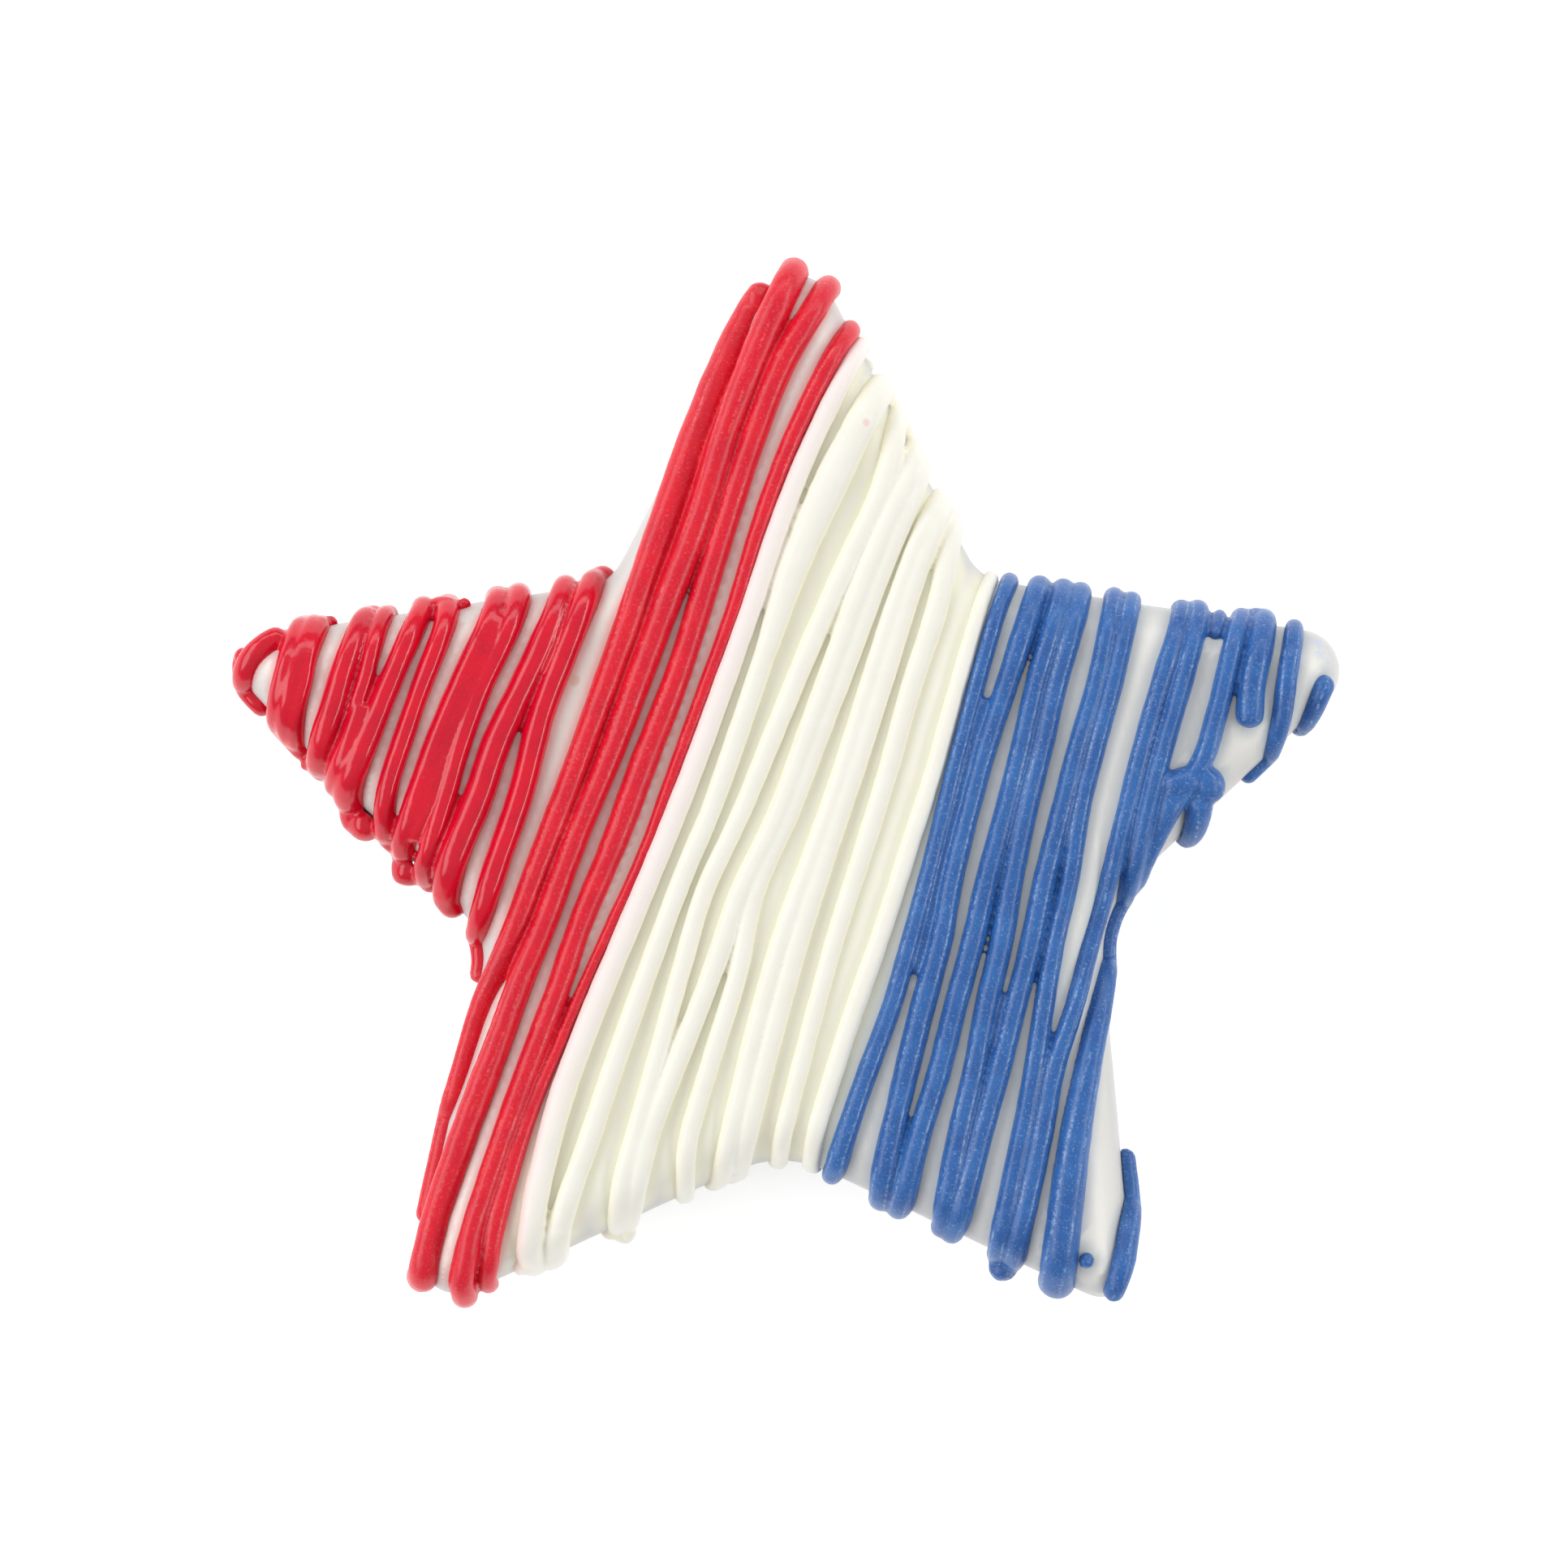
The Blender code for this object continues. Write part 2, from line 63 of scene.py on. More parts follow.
SHOULDER_RINGS = 18
SHOULDER_CROWDING = 1.8  # above 1: the rings crowd towards the edge
CROWN_RINGS = 5
PROFILE_REACH = 2.2  # how far in the profile under the strands goes, in widths of the shoulder
PROFILE_POINTS = 121
PROFILE_CROWDING = 1.7
SLOPE_STEP = 0.01

COATING_VOXEL = 0.42
STRAND_VOXEL = 0.155
BAND_VOXEL = 0.17  # coarser, to keep a long run of many strands light
MANY_STRANDS = 10
MOST_TRIANGLES = 170000  # in one piece
COATING_SOFTENING = 4  # rounds of smoothing
STRAND_SOFTENING = 5
COATING_ROUGHNESS = [(9.0, 0.07), (3.0, 0.02)]  # pairs of wavelength and depth
SMOOTH_ROUGHNESS = [(2.5, 0.03)]
FINE_ROUGHNESS = [(1.6, 0.025), (0.45, 0.01)]
GLINT_REACH = 1.6  # how far the painted glint spreads round a strand's low end

# ---- the strands ----------------------------------------------------------------------------

STRAND_SLIMNESS = 0.62  # height of a strand against its width
WHITE_SLIMNESS = 0.5  # the same, for white icing
WALL_FULLNESS = 0.85  # how much of that height it has where it runs down the side
SINK = 0.3  # how deep its foot reaches into the coating
PATH_STEP = 0.25
SECTION_POINTS = 18
FULLNESS = 0.95  # below 1: the section is squarer than half an ellipse
EVENNESS = 0.4  # how much a strand keeps its mean height where its width changes
WAVER = 0.035  # unevenness of a strand's width
SLOW_WAVES = 0.45  # waves in a millimetre
QUICK_WAVES = 1.3
SEED_STRIDE = 7.3  # sets the noise of one strand apart from the next one's
END_ROUNDING = 0.55  # length of a strand's rounded end against its width
CORNER_EASING = 3  # rounds of smoothing along a strand
LOWEST_END = 1.6  # no strand runs further down than this height

# `widths` are spaced evenly from start to end, `drops` says how far each end runs down the
# side of the biscuit, and `lift` raises a strand that was laid over another one.
Strand = namedtuple("Strand", "widths drops lift route")

# A strand as it lies: its centre line, the direction across it and its width, point by point.
Laid = namedtuple("Laid", "points across width")

RED_LEFT_ARM = [
    Strand((1.9, 2.0, 2.1, 2.0, 1.9), (0.0, 1.5), 0.0,
           [(-39.8, 11.8), (-40.7, 11.5), (-41.5, 11.0), (-42.4, 10.2), (-43.0, 9.1),
            (-43.2, 7.8), (-42.9, 6.9), (-42.2, 6.1)]),
    Strand((1.5, 1.7, 1.5), (0.0, 0.0), 0.15,
           [(-43.1, 10.4), (-43.7, 9.7), (-44.0, 8.7), (-43.9, 7.6)]),
    Strand((2.0, 1.9, 1.9, 2.1, 2.2), (2.5, 1.8), 0.0,
           [(-38.5, 12.8), (-39.1, 11.5), (-39.6, 10.0), (-40.0, 8.5), (-40.3, 7.0), (-40.4, 5.2),
            (-40.0, 3.7), (-39.3, 2.3)]),
    Strand((1.6, 1.5, 1.6, 1.7, 1.8), (2.0, 1.0), 0.05,
           [(-37.1, 12.6), (-37.6, 11.4), (-38.1, 10.0), (-38.4, 8.5), (-38.8, 7.0), (-39.1, 5.2),
            (-39.1, 3.7), (-38.7, 2.4)]),
    Strand((1.4, 1.8, 1.8), (1.0, 0.0), 0.2,  # fills the groove between both
           [(-37.7, 12.8), (-38.9, 10.0), (-39.5, 7.5), (-39.8, 5.2), (-39.5, 3.3)]),
    Strand((1.5, 1.5), (0.0, 0.0), 0.0,  # lobe behind it
           [(-36.7, 12.8), (-36.1, 12.8)]),
    Strand((1.6, 1.8, 1.6), (0.0, 0.0), 0.5,  # lump on the side wall
           [(-39.0, 1.8), (-38.5, 1.3), (-38.0, 1.0)]),
    Strand((1.9, 2.0, 2.2, 2.2), (2.5, 2.0), 0.0,
           [(-33.0, 13.7), (-33.8, 12.6), (-34.6, 10.8), (-35.4, 8.7), (-36.0, 6.5), (-36.7, 4.3),
            (-37.1, 2.3), (-37.3, 1.0)]),
    Strand((1.7, 1.5, 1.5, 1.6), (2.0, 0.5), 0.05,
           [(-31.8, 13.9), (-32.4, 12.4), (-33.0, 10.4), (-33.5, 8.5), (-34.2, 6.3), (-34.8, 3.9),
            (-35.6, 2.0), (-35.9, 0.7)]),
    Strand((2.0, 1.9, 2.0, 2.5, 2.9), (2.5, 1.6), 0.1,
           [(-28.9, 13.9), (-29.6, 12.4), (-31.2, 8.9), (-32.7, 5.3), (-34.3, 1.5), (-34.8, -0.3),
            (-34.6, -1.5)]),
    Strand((1.5, 2.0, 2.0), (0.0, 0.0), 0.2,  # fills the groove below their fork
           [(-33.7, 6.7), (-34.6, 3.9), (-35.6, 1.0), (-35.9, -0.4)]),
    Strand((2.2, 1.8, 1.75, 1.8, 1.9), (2.5, 2.0), 0.0,
           [(-26.9, 13.9), (-27.3, 12.2), (-28.8, 8.4), (-30.2, 4.4), (-31.7, -0.3),
            (-31.9, -3.7), (-31.5, -4.7)]),
    Strand((1.8, 2.0, 1.8), (0.0, 0.0), 0.05,  # bridge over both
           [(-28.5, 13.7), (-27.4, 14.0), (-26.4, 13.7)]),
    Strand((1.4, 1.4), (0.0, 0.0), 0.0,  # lobe behind it
           [(-25.9, 14.3), (-25.3, 14.2)]),
    Strand((2.4, 3.4, 3.2, 2.2), (0.0, 0.0), 0.5,  # drop that hangs below it
           [(-35.6, -1.6), (-34.8, -2.4), (-33.9, -3.0), (-33.1, -3.0)]),
    Strand((2.1, 2.0, 2.0), (2.5, 2.0), 0.0,
           [(-22.9, 14.5), (-23.6, 12.7), (-25.7, 8.3), (-27.6, 3.9), (-29.1, -0.3),
            (-30.3, -4.2), (-30.3, -5.2)]),
    Strand((2.0, 1.9, 1.8, 1.7), (2.5, 2.0), 0.08,
           [(-21.2, 14.7), (-21.8, 12.8), (-24.0, 8.2), (-25.7, 3.7), (-26.9, -0.4),
            (-28.4, -5.4), (-28.8, -6.9), (-28.5, -8.0)]),
    Strand((1.6, 1.7, 1.4), (0.0, 0.0), 0.12,  # fills the groove between both
           [(-22.5, 13.6), (-24.2, 9.8), (-26.0, 6.2), (-27.4, 3.0), (-28.1, 0.4), (-29.1, -2.8),
            (-29.6, -4.5)]),
    Strand((2.1, 2.3, 2.6, 2.3), (2.5, 1.6), 0.0,
           [(-17.5, 15.5), (-18.4, 13.2), (-20.9, 7.8), (-23.0, 3.3), (-24.4, -0.9),
            (-26.3, -5.5), (-26.9, -8.6), (-26.5, -9.5)]),
    Strand((2.4, 3.5, 3.4, 2.6), (0.0, 0.0), 0.45,  # second hanging drop
           [(-31.3, -5.8), (-30.6, -6.9), (-29.8, -7.6), (-29.0, -7.8)]),
    Strand((2.2, 2.2, 2.2, 2.1, 1.3), (2.5, 0.6), 0.1,
           [(-14.8, 16.9), (-15.7, 15.0), (-17.6, 10.4), (-19.4, 5.6), (-21.1, -0.9),
            (-23.3, -7.4), (-24.9, -13.4), (-25.1, -15.4)]),
]

RED_LONG = [
    Strand((1.6, 2.9, 2.9, 2.6, 2.3, 2.1, 2.1, 2.0, 1.65, 1.7, 1.7), (1.5, 2.5), 0.0,
           [(-1.7, 39.1), (-2.7, 37.7), (-5.3, 31.8), (-7.9, 25.1), (-10.3, 18.6), (-12.7, 12.1),
            (-15.1, 5.6), (-17.5, -0.9), (-20.0, -7.4), (-22.4, -13.9), (-24.1, -17.8),
            (-25.9, -23.7), (-28.0, -30.2), (-28.8, -33.4), (-29.2, -34.4)]),
    Strand((2.3, 2.6, 2.4, 2.4, 2.35, 2.05, 2.05, 2.15, 2.3, 2.4, 2.6), (2.5, 2.0), 0.14,
           [(0.8, 40.9), (-0.1, 39.0), (-2.2, 34.2), (-4.5, 28.3), (-6.8, 21.2), (-9.2, 15.0),
            (-11.5, 8.8), (-13.9, 2.3), (-16.6, -4.2), (-19.0, -10.7), (-21.1, -15.9),
            (-22.7, -20.4), (-25.1, -26.9), (-27.3, -33.4), (-28.2, -36.7), (-28.8, -39.4)]),
    Strand((2.1, 2.1, 2.1, 2.1, 2.15, 2.3, 2.0, 2.0, 1.95, 2.0, 2.2), (2.5, 2.0), 0.04,
           [(3.4, 39.7), (2.5, 38.2), (-0.3, 33.2), (-2.7, 27.0), (-4.8, 20.5), (-6.6, 14.7),
            (-8.6, 8.5), (-11.0, 2.3), (-13.4, -4.2), (-16.1, -10.7), (-17.9, -15.9),
            (-19.6, -20.4), (-22.0, -26.9), (-24.2, -33.4), (-25.2, -36.7), (-25.9, -39.6)]),
    Strand((1.7, 1.6, 1.5, 1.25, 1.1, 0.95, 1.1, 1.7, 1.6), (2.0, 2.5), 0.0,
           [(5.3, 36.4), (3.6, 33.7), (0.4, 27.0), (-2.0, 20.5), (-4.0, 14.0), (-6.4, 7.5),
            (-8.8, 1.0), (-11.2, -5.5), (-13.8, -11.2), (-15.9, -15.9), (-17.8, -20.4),
            (-20.5, -26.9), (-22.6, -33.4), (-23.4, -36.7), (-23.9, -39.7)]),
]

WHITE_BAND = [
    Strand((1.6, 1.7, 1.8, 1.9, 2.1, 2.1), (1.0, 1.2), 0.2,
           [(6.4, 35.3), (5.3, 33.6), (2.1, 27.0), (-0.5, 20.5), (-2.7, 14.0), (-5.0, 7.5),
            (-7.4, 1.0), (-10.0, -5.5), (-12.7, -12.0), (-15.4, -18.5), (-17.8, -25.0),
            (-19.5, -31.5), (-20.1, -34.7), (-20.5, -37.5)]),
    Strand((1.2, 1.3), (0.0, 1.0), 0.0,  # lump below its end
           [(-20.9, -38.1), (-21.2, -38.6)]),
    Strand((0.9, 1.1, 0.9), (0.0, 0.0), 0.0,  # yellowish end on the side wall
           [(7.0, 34.4), (7.3, 34.0), (7.6, 33.4)]),
    Strand((2.4, 2.9, 1.8, 1.7, 1.7, 1.8, 2.2), (1.2, 2.0), 0.1,
           [(8.2, 32.1), (6.9, 30.3), (3.6, 23.8), (0.8, 17.3), (-1.4, 10.8), (-3.6, 4.3),
            (-5.9, -2.2), (-8.6, -8.7), (-13.3, -21.7), (-15.5, -28.2), (-17.8, -34.7),
            (-18.3, -37.7)]),
    Strand((2.0, 2.6, 2.8), (0.0, 1.2), 0.06,  # foot that joins both
           [(-17.8, -34.6), (-18.3, -36.4), (-18.7, -38.1)]),
    Strand((2.0, 2.2, 1.8), (0.0, 0.0), 0.0,  # its thick end
           [(8.5, 31.9), (9.4, 30.8), (9.6, 29.0)]),
    Strand((2.0, 1.8, 1.6, 1.6, 1.9), (0.8, 2.5), 0.04,
           [(9.2, 30.5), (9.0, 29.3), (7.9, 23.8), (4.9, 17.3), (2.0, 10.8), (-0.7, 4.3),
            (-3.4, -2.2), (-6.4, -8.7), (-8.3, -15.2), (-11.0, -25.0), (-12.8, -31.5),
            (-13.3, -34.7), (-13.1, -37.0)]),
    Strand((2.0, 1.9, 1.8, 1.7, 1.9), (1.5, 2.2), 0.14,
           [(10.5, 27.0), (9.5, 23.8), (6.8, 17.3), (4.4, 10.8), (2.0, 4.3), (-0.4, -2.2),
            (-3.5, -8.7), (-5.8, -15.2), (-8.3, -21.7), (-10.8, -28.2), (-12.4, -34.7),
            (-13.1, -37.3)]),
    Strand((2.0, 1.7, 1.6, 1.6, 1.6), (1.5, 2.5), 0.06,
           [(11.3, 26.7), (10.5, 23.8), (7.9, 17.3), (5.5, 10.8), (3.0, 4.3), (0.5, -2.2),
            (-2.3, -8.7), (-3.7, -15.2), (-5.7, -21.7), (-7.6, -28.2), (-7.9, -31.5),
            (-7.9, -33.1)]),
    Strand((2.2, 2.2), (0.0, 0.0), 0.0,  # joins the strands' ends
           [(9.5, 29.6), (10.4, 27.7)]),
    Strand((2.0, 2.6, 2.0), (0.0, 0.0), 0.8,  # drip that hangs off their end
           [(-13.6, -36.5), (-12.9, -36.4), (-12.3, -35.8)]),
    Strand((1.8, 2.0, 1.8), (0.0, 0.0), 0.0,  # thick end of both
           [(10.1, 27.8), (11.0, 27.1), (11.1, 25.6)]),
]

WHITE_MIDDLE = [
    Strand((1.8, 1.7, 1.8, 1.8), (1.5, 2.5), 0.0,
           [(12.6, 23.0), (11.2, 20.5), (8.8, 14.0), (6.7, 7.5), (4.7, 1.0), (2.4, -5.5),
            (0.0, -12.0), (-1.9, -18.5), (-3.5, -25.0), (-5.1, -31.5), (-5.3, -32.5)]),
    Strand((1.8, 1.7, 1.8, 1.8), (1.5, 2.5), 0.07,
           [(13.3, 23.0), (11.9, 20.5), (9.7, 14.0), (7.7, 7.5), (5.6, 1.0), (3.4, -5.5),
            (1.3, -12.0), (-0.5, -18.5), (-2.2, -25.0), (-3.8, -31.5), (-3.8, -32.0)]),
    Strand((2.0, 1.7, 1.5, 1.5), (1.5, 2.5), 0.03,
           [(14.0, 21.7), (13.5, 20.5), (12.2, 14.0), (10.1, 7.5), (8.3, 1.0), (6.3, -5.5),
            (4.2, -12.0), (2.4, -18.5), (0.7, -25.0), (-0.1, -28.2), (-0.5, -31.1)]),
    Strand((2.0, 2.4, 2.0), (0.0, 0.0), 0.0,  # thick end of all three
           [(13.0, 22.6), (13.8, 21.8), (14.1, 20.5)]),
]

WHITE_LAST = [
    Strand((1.2, 1.5, 1.6, 1.5), (3.0, 3.0), 0.0,
           [(16.6, 16.5), (15.7, 14.0), (13.8, 7.5), (12.0, 1.0), (9.9, -5.5), (7.8, -12.0),
            (5.5, -18.5), (3.4, -25.0), (2.5, -28.2), (2.0, -31.8)]),
]

BLUE_BAND = [
    Strand((1.55, 1.45, 1.4, 1.4, 1.45, 1.5, 1.6, 1.65, 1.7, 1.9, 1.5), (2.5, 2.0), 0.05,
           [(18.1, 16.2), (17.0, 13.4), (15.5, 8.2), (14.1, 3.0), (12.8, -2.2), (11.5, -7.4),
            (10.1, -12.6), (8.6, -17.8), (6.7, -23.0), (4.9, -28.2), (4.2, -30.6)]),
    Strand((1.9, 2.0, 1.9, 1.8, 1.75, 1.85, 2.0, 2.1, 1.95, 2.25, 2.2), (2.5, 2.0), 0.0,
           [(20.5, 15.8), (19.6, 13.4), (17.9, 8.2), (16.2, 3.0), (14.8, -2.2), (13.5, -7.4),
            (12.5, -12.6), (11.1, -17.8), (9.8, -23.0), (8.6, -28.2), (8.1, -30.8), (7.9, -33.2)]),
    Strand((0.9, 0.9), (0.0, 0.0), 0.0,  # fills the groove between both
           [(16.1, 6.9), (15.5, 4.3), (14.6, 1.0), (13.7, -2.2), (12.9, -5.5), (12.1, -8.7),
            (11.2, -12.6), (10.5, -15.2)]),
    Strand((1.9, 1.8, 1.75, 1.75, 1.8, 1.9, 1.95, 1.95, 1.9, 2.2, 1.9), (2.5, 2.0), 0.09,
           [(22.4, 15.4), (21.8, 13.4), (20.2, 8.2), (19.0, 3.0), (17.7, -2.2), (16.3, -7.4),
            (15.1, -12.6), (13.7, -17.8), (12.4, -23.0), (10.8, -28.2), (10.1, -30.8),
            (9.5, -33.4)]),
    Strand((1.9, 1.8, 1.75, 1.75, 1.8, 1.9, 1.95, 1.9, 2.0, 2.0, 1.8), (2.5, 2.0), 0.02,
           [(23.8, 15.3), (23.4, 13.4), (21.9, 8.2), (20.7, 3.0), (19.4, -2.2), (18.3, -7.4),
            (17.4, -12.6), (16.2, -17.8), (15.2, -23.0), (14.0, -28.2), (13.0, -33.4),
            (12.9, -35.1)]),
    Strand((1.8, 1.6, 1.6, 1.7, 1.85, 1.85, 1.85, 1.9, 1.8, 2.0, 1.8), (2.5, 2.0), 0.1,
           [(26.5, 14.9), (26.1, 13.4), (25.0, 8.2), (23.5, 3.0), (22.2, -2.2), (20.9, -7.4),
            (19.8, -12.6), (18.5, -17.8), (17.2, -23.0), (15.8, -28.2), (14.4, -33.4),
            (13.9, -35.1)]),
    Strand((1.7, 1.55, 1.55, 1.6, 1.6, 1.6, 1.7, 1.75, 1.8, 1.85, 1.9), (2.5, 1.6), 0.04,
           [(27.9, 14.7), (27.6, 13.4), (26.4, 8.2), (25.0, 3.0), (23.7, -2.2), (22.9, -7.4),
            (21.7, -12.6), (20.8, -17.8), (20.0, -23.0), (19.0, -28.2), (17.9, -33.4),
            (17.4, -36.0), (17.2, -37.7)]),
    Strand((0.9, 0.9), (0.0, 0.0), 0.0,  # fills the groove between both
           [(17.6, -16.7), (17.2, -18.5), (16.6, -21.1)]),
    Strand((1.8, 2.4, 2.0), (0.0, 0.4), 0.95,  # lump below its end
           [(16.4, -38.6), (17.2, -39.3), (18.0, -39.5)]),
    Strand((1.7, 1.65, 1.65, 1.65, 1.6, 1.5, 1.6, 1.8, 1.85, 1.85, 1.9), (2.5, 2.0), 0.0,
           [(31.9, 14.1), (31.7, 13.0), (30.2, 8.2), (28.7, 3.0), (27.4, -2.2), (26.0, -7.4),
            (24.5, -12.6), (23.2, -17.8), (21.6, -23.0), (20.6, -28.2), (19.5, -33.4),
            (18.9, -36.0), (18.6, -37.7)]),
    Strand((1.8, 1.7, 1.7, 1.7, 1.7, 1.6, 1.9, 2.3, 2.8, 3.0, 3.0), (2.5, 2.0), 0.1,
           [(33.2, 13.9), (33.1, 12.7), (31.9, 8.2), (30.4, 3.0), (29.0, -2.2), (27.6, -7.4),
            (26.2, -12.6), (25.2, -17.8), (24.2, -23.0), (23.3, -28.2), (22.6, -33.4),
            (22.0, -38.6), (21.9, -39.8)]),
    Strand((1.8, 1.8, 1.8, 1.8, 1.7), (2.5, 0.0), 0.04,
           [(36.7, 13.1), (35.9, 10.8), (34.7, 5.9), (33.5, 2.0), (31.3, -1.3), (29.2, -5.1),
            (28.3, -7.2), (27.4, -9.4)]),
    Strand((2.0, 2.1, 2.2, 2.4), (2.0, 0.0), 0.12,
           [(38.4, 12.4), (38.1, 10.8), (37.7, 9.1), (37.4, 7.5), (37.2, 4.5)]),
    Strand((2.1, 2.3, 2.1), (0.0, 0.0), 0.0,  # bridge over both
           [(36.7, 13.2), (37.4, 13.4), (38.3, 12.6)]),
    Strand((1.9, 2.3, 2.2), (0.0, 0.0), 0.0,  # joins strand to blob
           [(30.2, -0.2), (31.8, 0.2), (33.4, 0.7)]),
    Strand((1.9, 2.1, 1.7), (0.0, 0.0), 0.0,  # fills the fork below it
           [(30.9, -0.2), (30.8, -1.7), (29.9, -3.5)]),
    Strand((2.0, 2.8, 2.8), (0.0, 0.0), 0.1,  # the blob that ties strand to strand
           [(33.1, 1.4), (33.9, 0.0), (34.0, -1.1)]),
    Strand((2.2, 2.2, 2.0, 1.9), (0.0, 0.5), 0.3,  # its drip
           [(33.3, -0.4), (33.1, -2.2), (32.8, -3.4), (32.2, -4.6)]),
    Strand((0.8, 1.4, 1.2), (0.4, 0.0), 0.02,
           [(35.0, 13.6), (34.7, 12.6), (34.4, 11.6)]),
]

BLUE_NEAR_POINT = [
    Strand((1.3, 1.6, 1.75, 1.7, 1.5, 1.4), (2.2, 1.5), 0.0,
           [(40.9, 12.3), (40.6, 10.6), (40.2, 8.2), (39.8, 5.6), (39.2, 3.3), (38.5, 1.5),
            (37.6, 0.4)]),
]

BLUE_AT_POINT = [
    Strand((1.7, 1.7, 1.6), (0.0, 0.3), 0.05,
           [(43.5, 8.7), (42.8, 7.1), (42.1, 5.6), (41.2, 4.1)]),
]

BLUE_LOWER_EDGE = [
    Strand((1.5, 1.8, 2.0, 2.0, 1.6), (0.0, 0.0), 0.3,
           [(28.2, -29.2), (28.1, -31.2), (27.8, -33.4), (27.4, -36.0), (27.0, -38.5),
            (26.2, -41.0)]),
]

BLUE_DROP = [
    Strand((1.25, 1.25), (0.0, 0.0), 0.0,
           [(24.2, -37.5), (24.2, -38.7)]),
]

# ---- the biscuit's outline and profile ------------------------------------------------------


def corner_arc(before, corner, after, radius):
    """Points that round one corner, along the arc that touches both its edges."""
    to_before = (before - corner).normalized()
    to_after = (after - corner).normalized()
    half_angle = to_before.angle(to_after) / 2
    centre = corner + (to_before + to_after).normalized() * (radius / math.sin(half_angle))
    reach = radius / math.tan(half_angle)
    start = corner + to_before * reach - centre
    turn = start.angle_signed(corner + to_after * reach - centre)
    points = []
    for step in range(ARC_STEPS + 1):
        angle = -turn * step / ARC_STEPS
        cos, sin = math.cos(angle), math.sin(angle)
        points.append((centre.x + start.x * cos - start.y * sin,
                       centre.y + start.x * sin + start.y * cos))
    return points


def outline(inset):
    """The star's rounded outline, anticlockwise, this far inside its widest line."""
    corners = [Vector(point) for point, _ in STAR_CORNERS]
    count = len(corners)
    moved = []
    for index, (_, radius) in enumerate(STAR_CORNERS):
        before, corner, after = corners[index - 1], corners[index], corners[(index + 1) % count]
        along = (corner - before).normalized()
        onward = (after - corner).normalized()
        inward = Vector((-along.y, along.x)) + Vector((-onward.y, onward.x))
        convex = along.cross(onward) > 0
        rounded = max(radius - inset, SMALLEST_ARC) if convex else radius + inset
        moved.append((corner + inward.normalized() * (2 * inset / inward.length), rounded))
    points = []
    for index, (corner, radius) in enumerate(moved):
        after = moved[(index + 1) % count][0]
        points += corner_arc(moved[index - 1][0], corner, after, radius)
    return np.array(points)


def top_height(inset):
    """Height of the coating this far inside the outline."""
    inset = np.maximum(inset, 0.0)
    crown = CROWN * np.minimum(inset / CROWN_INSET, 1.0) ** CROWN_POWER
    fall = np.clip(1.0 - inset / SHOULDER, 0.0, 1.0)
    rise = (1.0 - fall ** SHOULDER_POWER) ** (1.0 / SHOULDER_POWER)
    return WALL_TOP + (COOKIE_HEIGHT - CROWN - WALL_TOP) * rise + crown


def distance_inside(points, edge_line):
    """Distance of each point from the outline, above zero inside, and the direction inwards."""
    start = edge_line
    edge = np.roll(edge_line, -1, axis=0) - start
    arm = points[:, None, :] - start[None]
    share = np.clip((arm * edge).sum(2) / (edge ** 2).sum(1), 0.0, 1.0)
    gap = arm - share[..., None] * edge
    length = np.linalg.norm(gap, axis=2)
    nearest = length.argmin(1)
    rows = np.arange(len(points))
    end_y = start[:, 1] + edge[:, 1]
    crosses = (start[:, 1] > points[:, 1:2]) != (end_y > points[:, 1:2])
    rise = np.where(np.abs(edge[:, 1]) < 1e-12, 1e-12, edge[:, 1])
    cut = start[:, 0] + edge[:, 0] * (points[:, 1:2] - start[:, 1]) / rise
    inside = (crosses & (points[:, 0:1] < cut)).sum(1) % 2 == 1
    side = np.where(inside, 1.0, -1.0)
    distance = length[rows, nearest]
    away = gap[rows, nearest] / np.maximum(distance, 1e-9)[:, None]
    return distance * side, away * side[:, None]


def offset_profile(clearance):
    """Section of the surface that lies this far off the coating: inset, height and slope."""
    shares = np.linspace(0.0, 1.0, PROFILE_POINTS) ** PROFILE_CROWDING
    inset = SHOULDER * PROFILE_REACH * shares
    low, high = np.maximum(inset - SLOPE_STEP, 0.0), inset + SLOPE_STEP
    tilt = np.arctan2(top_height(high) - top_height(low), high - low)
    return inset - clearance * np.sin(tilt), top_height(inset) + clearance * np.cos(tilt), tilt


# ---- making strands -------------------------------------------------------------------------


def smooth_route(route):
    """Evenly spaced points on a Catmull-Rom curve through a route's points."""
    points = np.array(route)
    points = np.vstack((2 * points[0] - points[1], points, 2 * points[-1] - points[-2]))
    curve = []
    for a, b, c, d in zip(points, points[1:], points[2:], points[3:]):
        steps = max(2, round(np.linalg.norm(c - b) / PATH_STEP))
        for t in np.arange(steps) / steps:
            curve.append(0.5 * (2 * b + (c - a) * t + (2 * a - 5 * b + 4 * c - d) * t * t
                                + (3 * b - a - 3 * c + d) * t ** 3))
    return np.array(curve + [points[-2]])


def stations(plan, inward, height, tilt):
    """Points of a path, each with the direction that leads straight out of the coating."""
    out = np.column_stack((-inward * np.sin(tilt)[:, None], np.cos(tilt)))
    return np.hstack((np.column_stack((plan, height)), out))


def run_over_edge(point, distance, inward, profile, drop):
    """Stations from a route's end, out over the shoulder and down the side of the biscuit."""
    if drop <= 0:
        return np.empty((0, 6))
    inset, height, tilt = profile
    out_steps = max(1, round((distance - inset[0]) / PATH_STEP))
    down_steps = max(1, round(drop / PATH_STEP))
    held = np.linspace(distance, inset[0], out_steps + 1)[1:]
    held = np.concatenate((held, np.full(down_steps, inset[0])))
    z = np.interp(held, inset, height)
    z[out_steps:] = np.linspace(height[0], max(height[0] - drop, LOWEST_END), down_steps + 1)[1:]
    plan = point + inward * (held - distance)[:, None]
    inward = np.repeat(inward[None], len(held), axis=0)
    return stations(plan, inward, z, np.interp(held, inset, tilt))


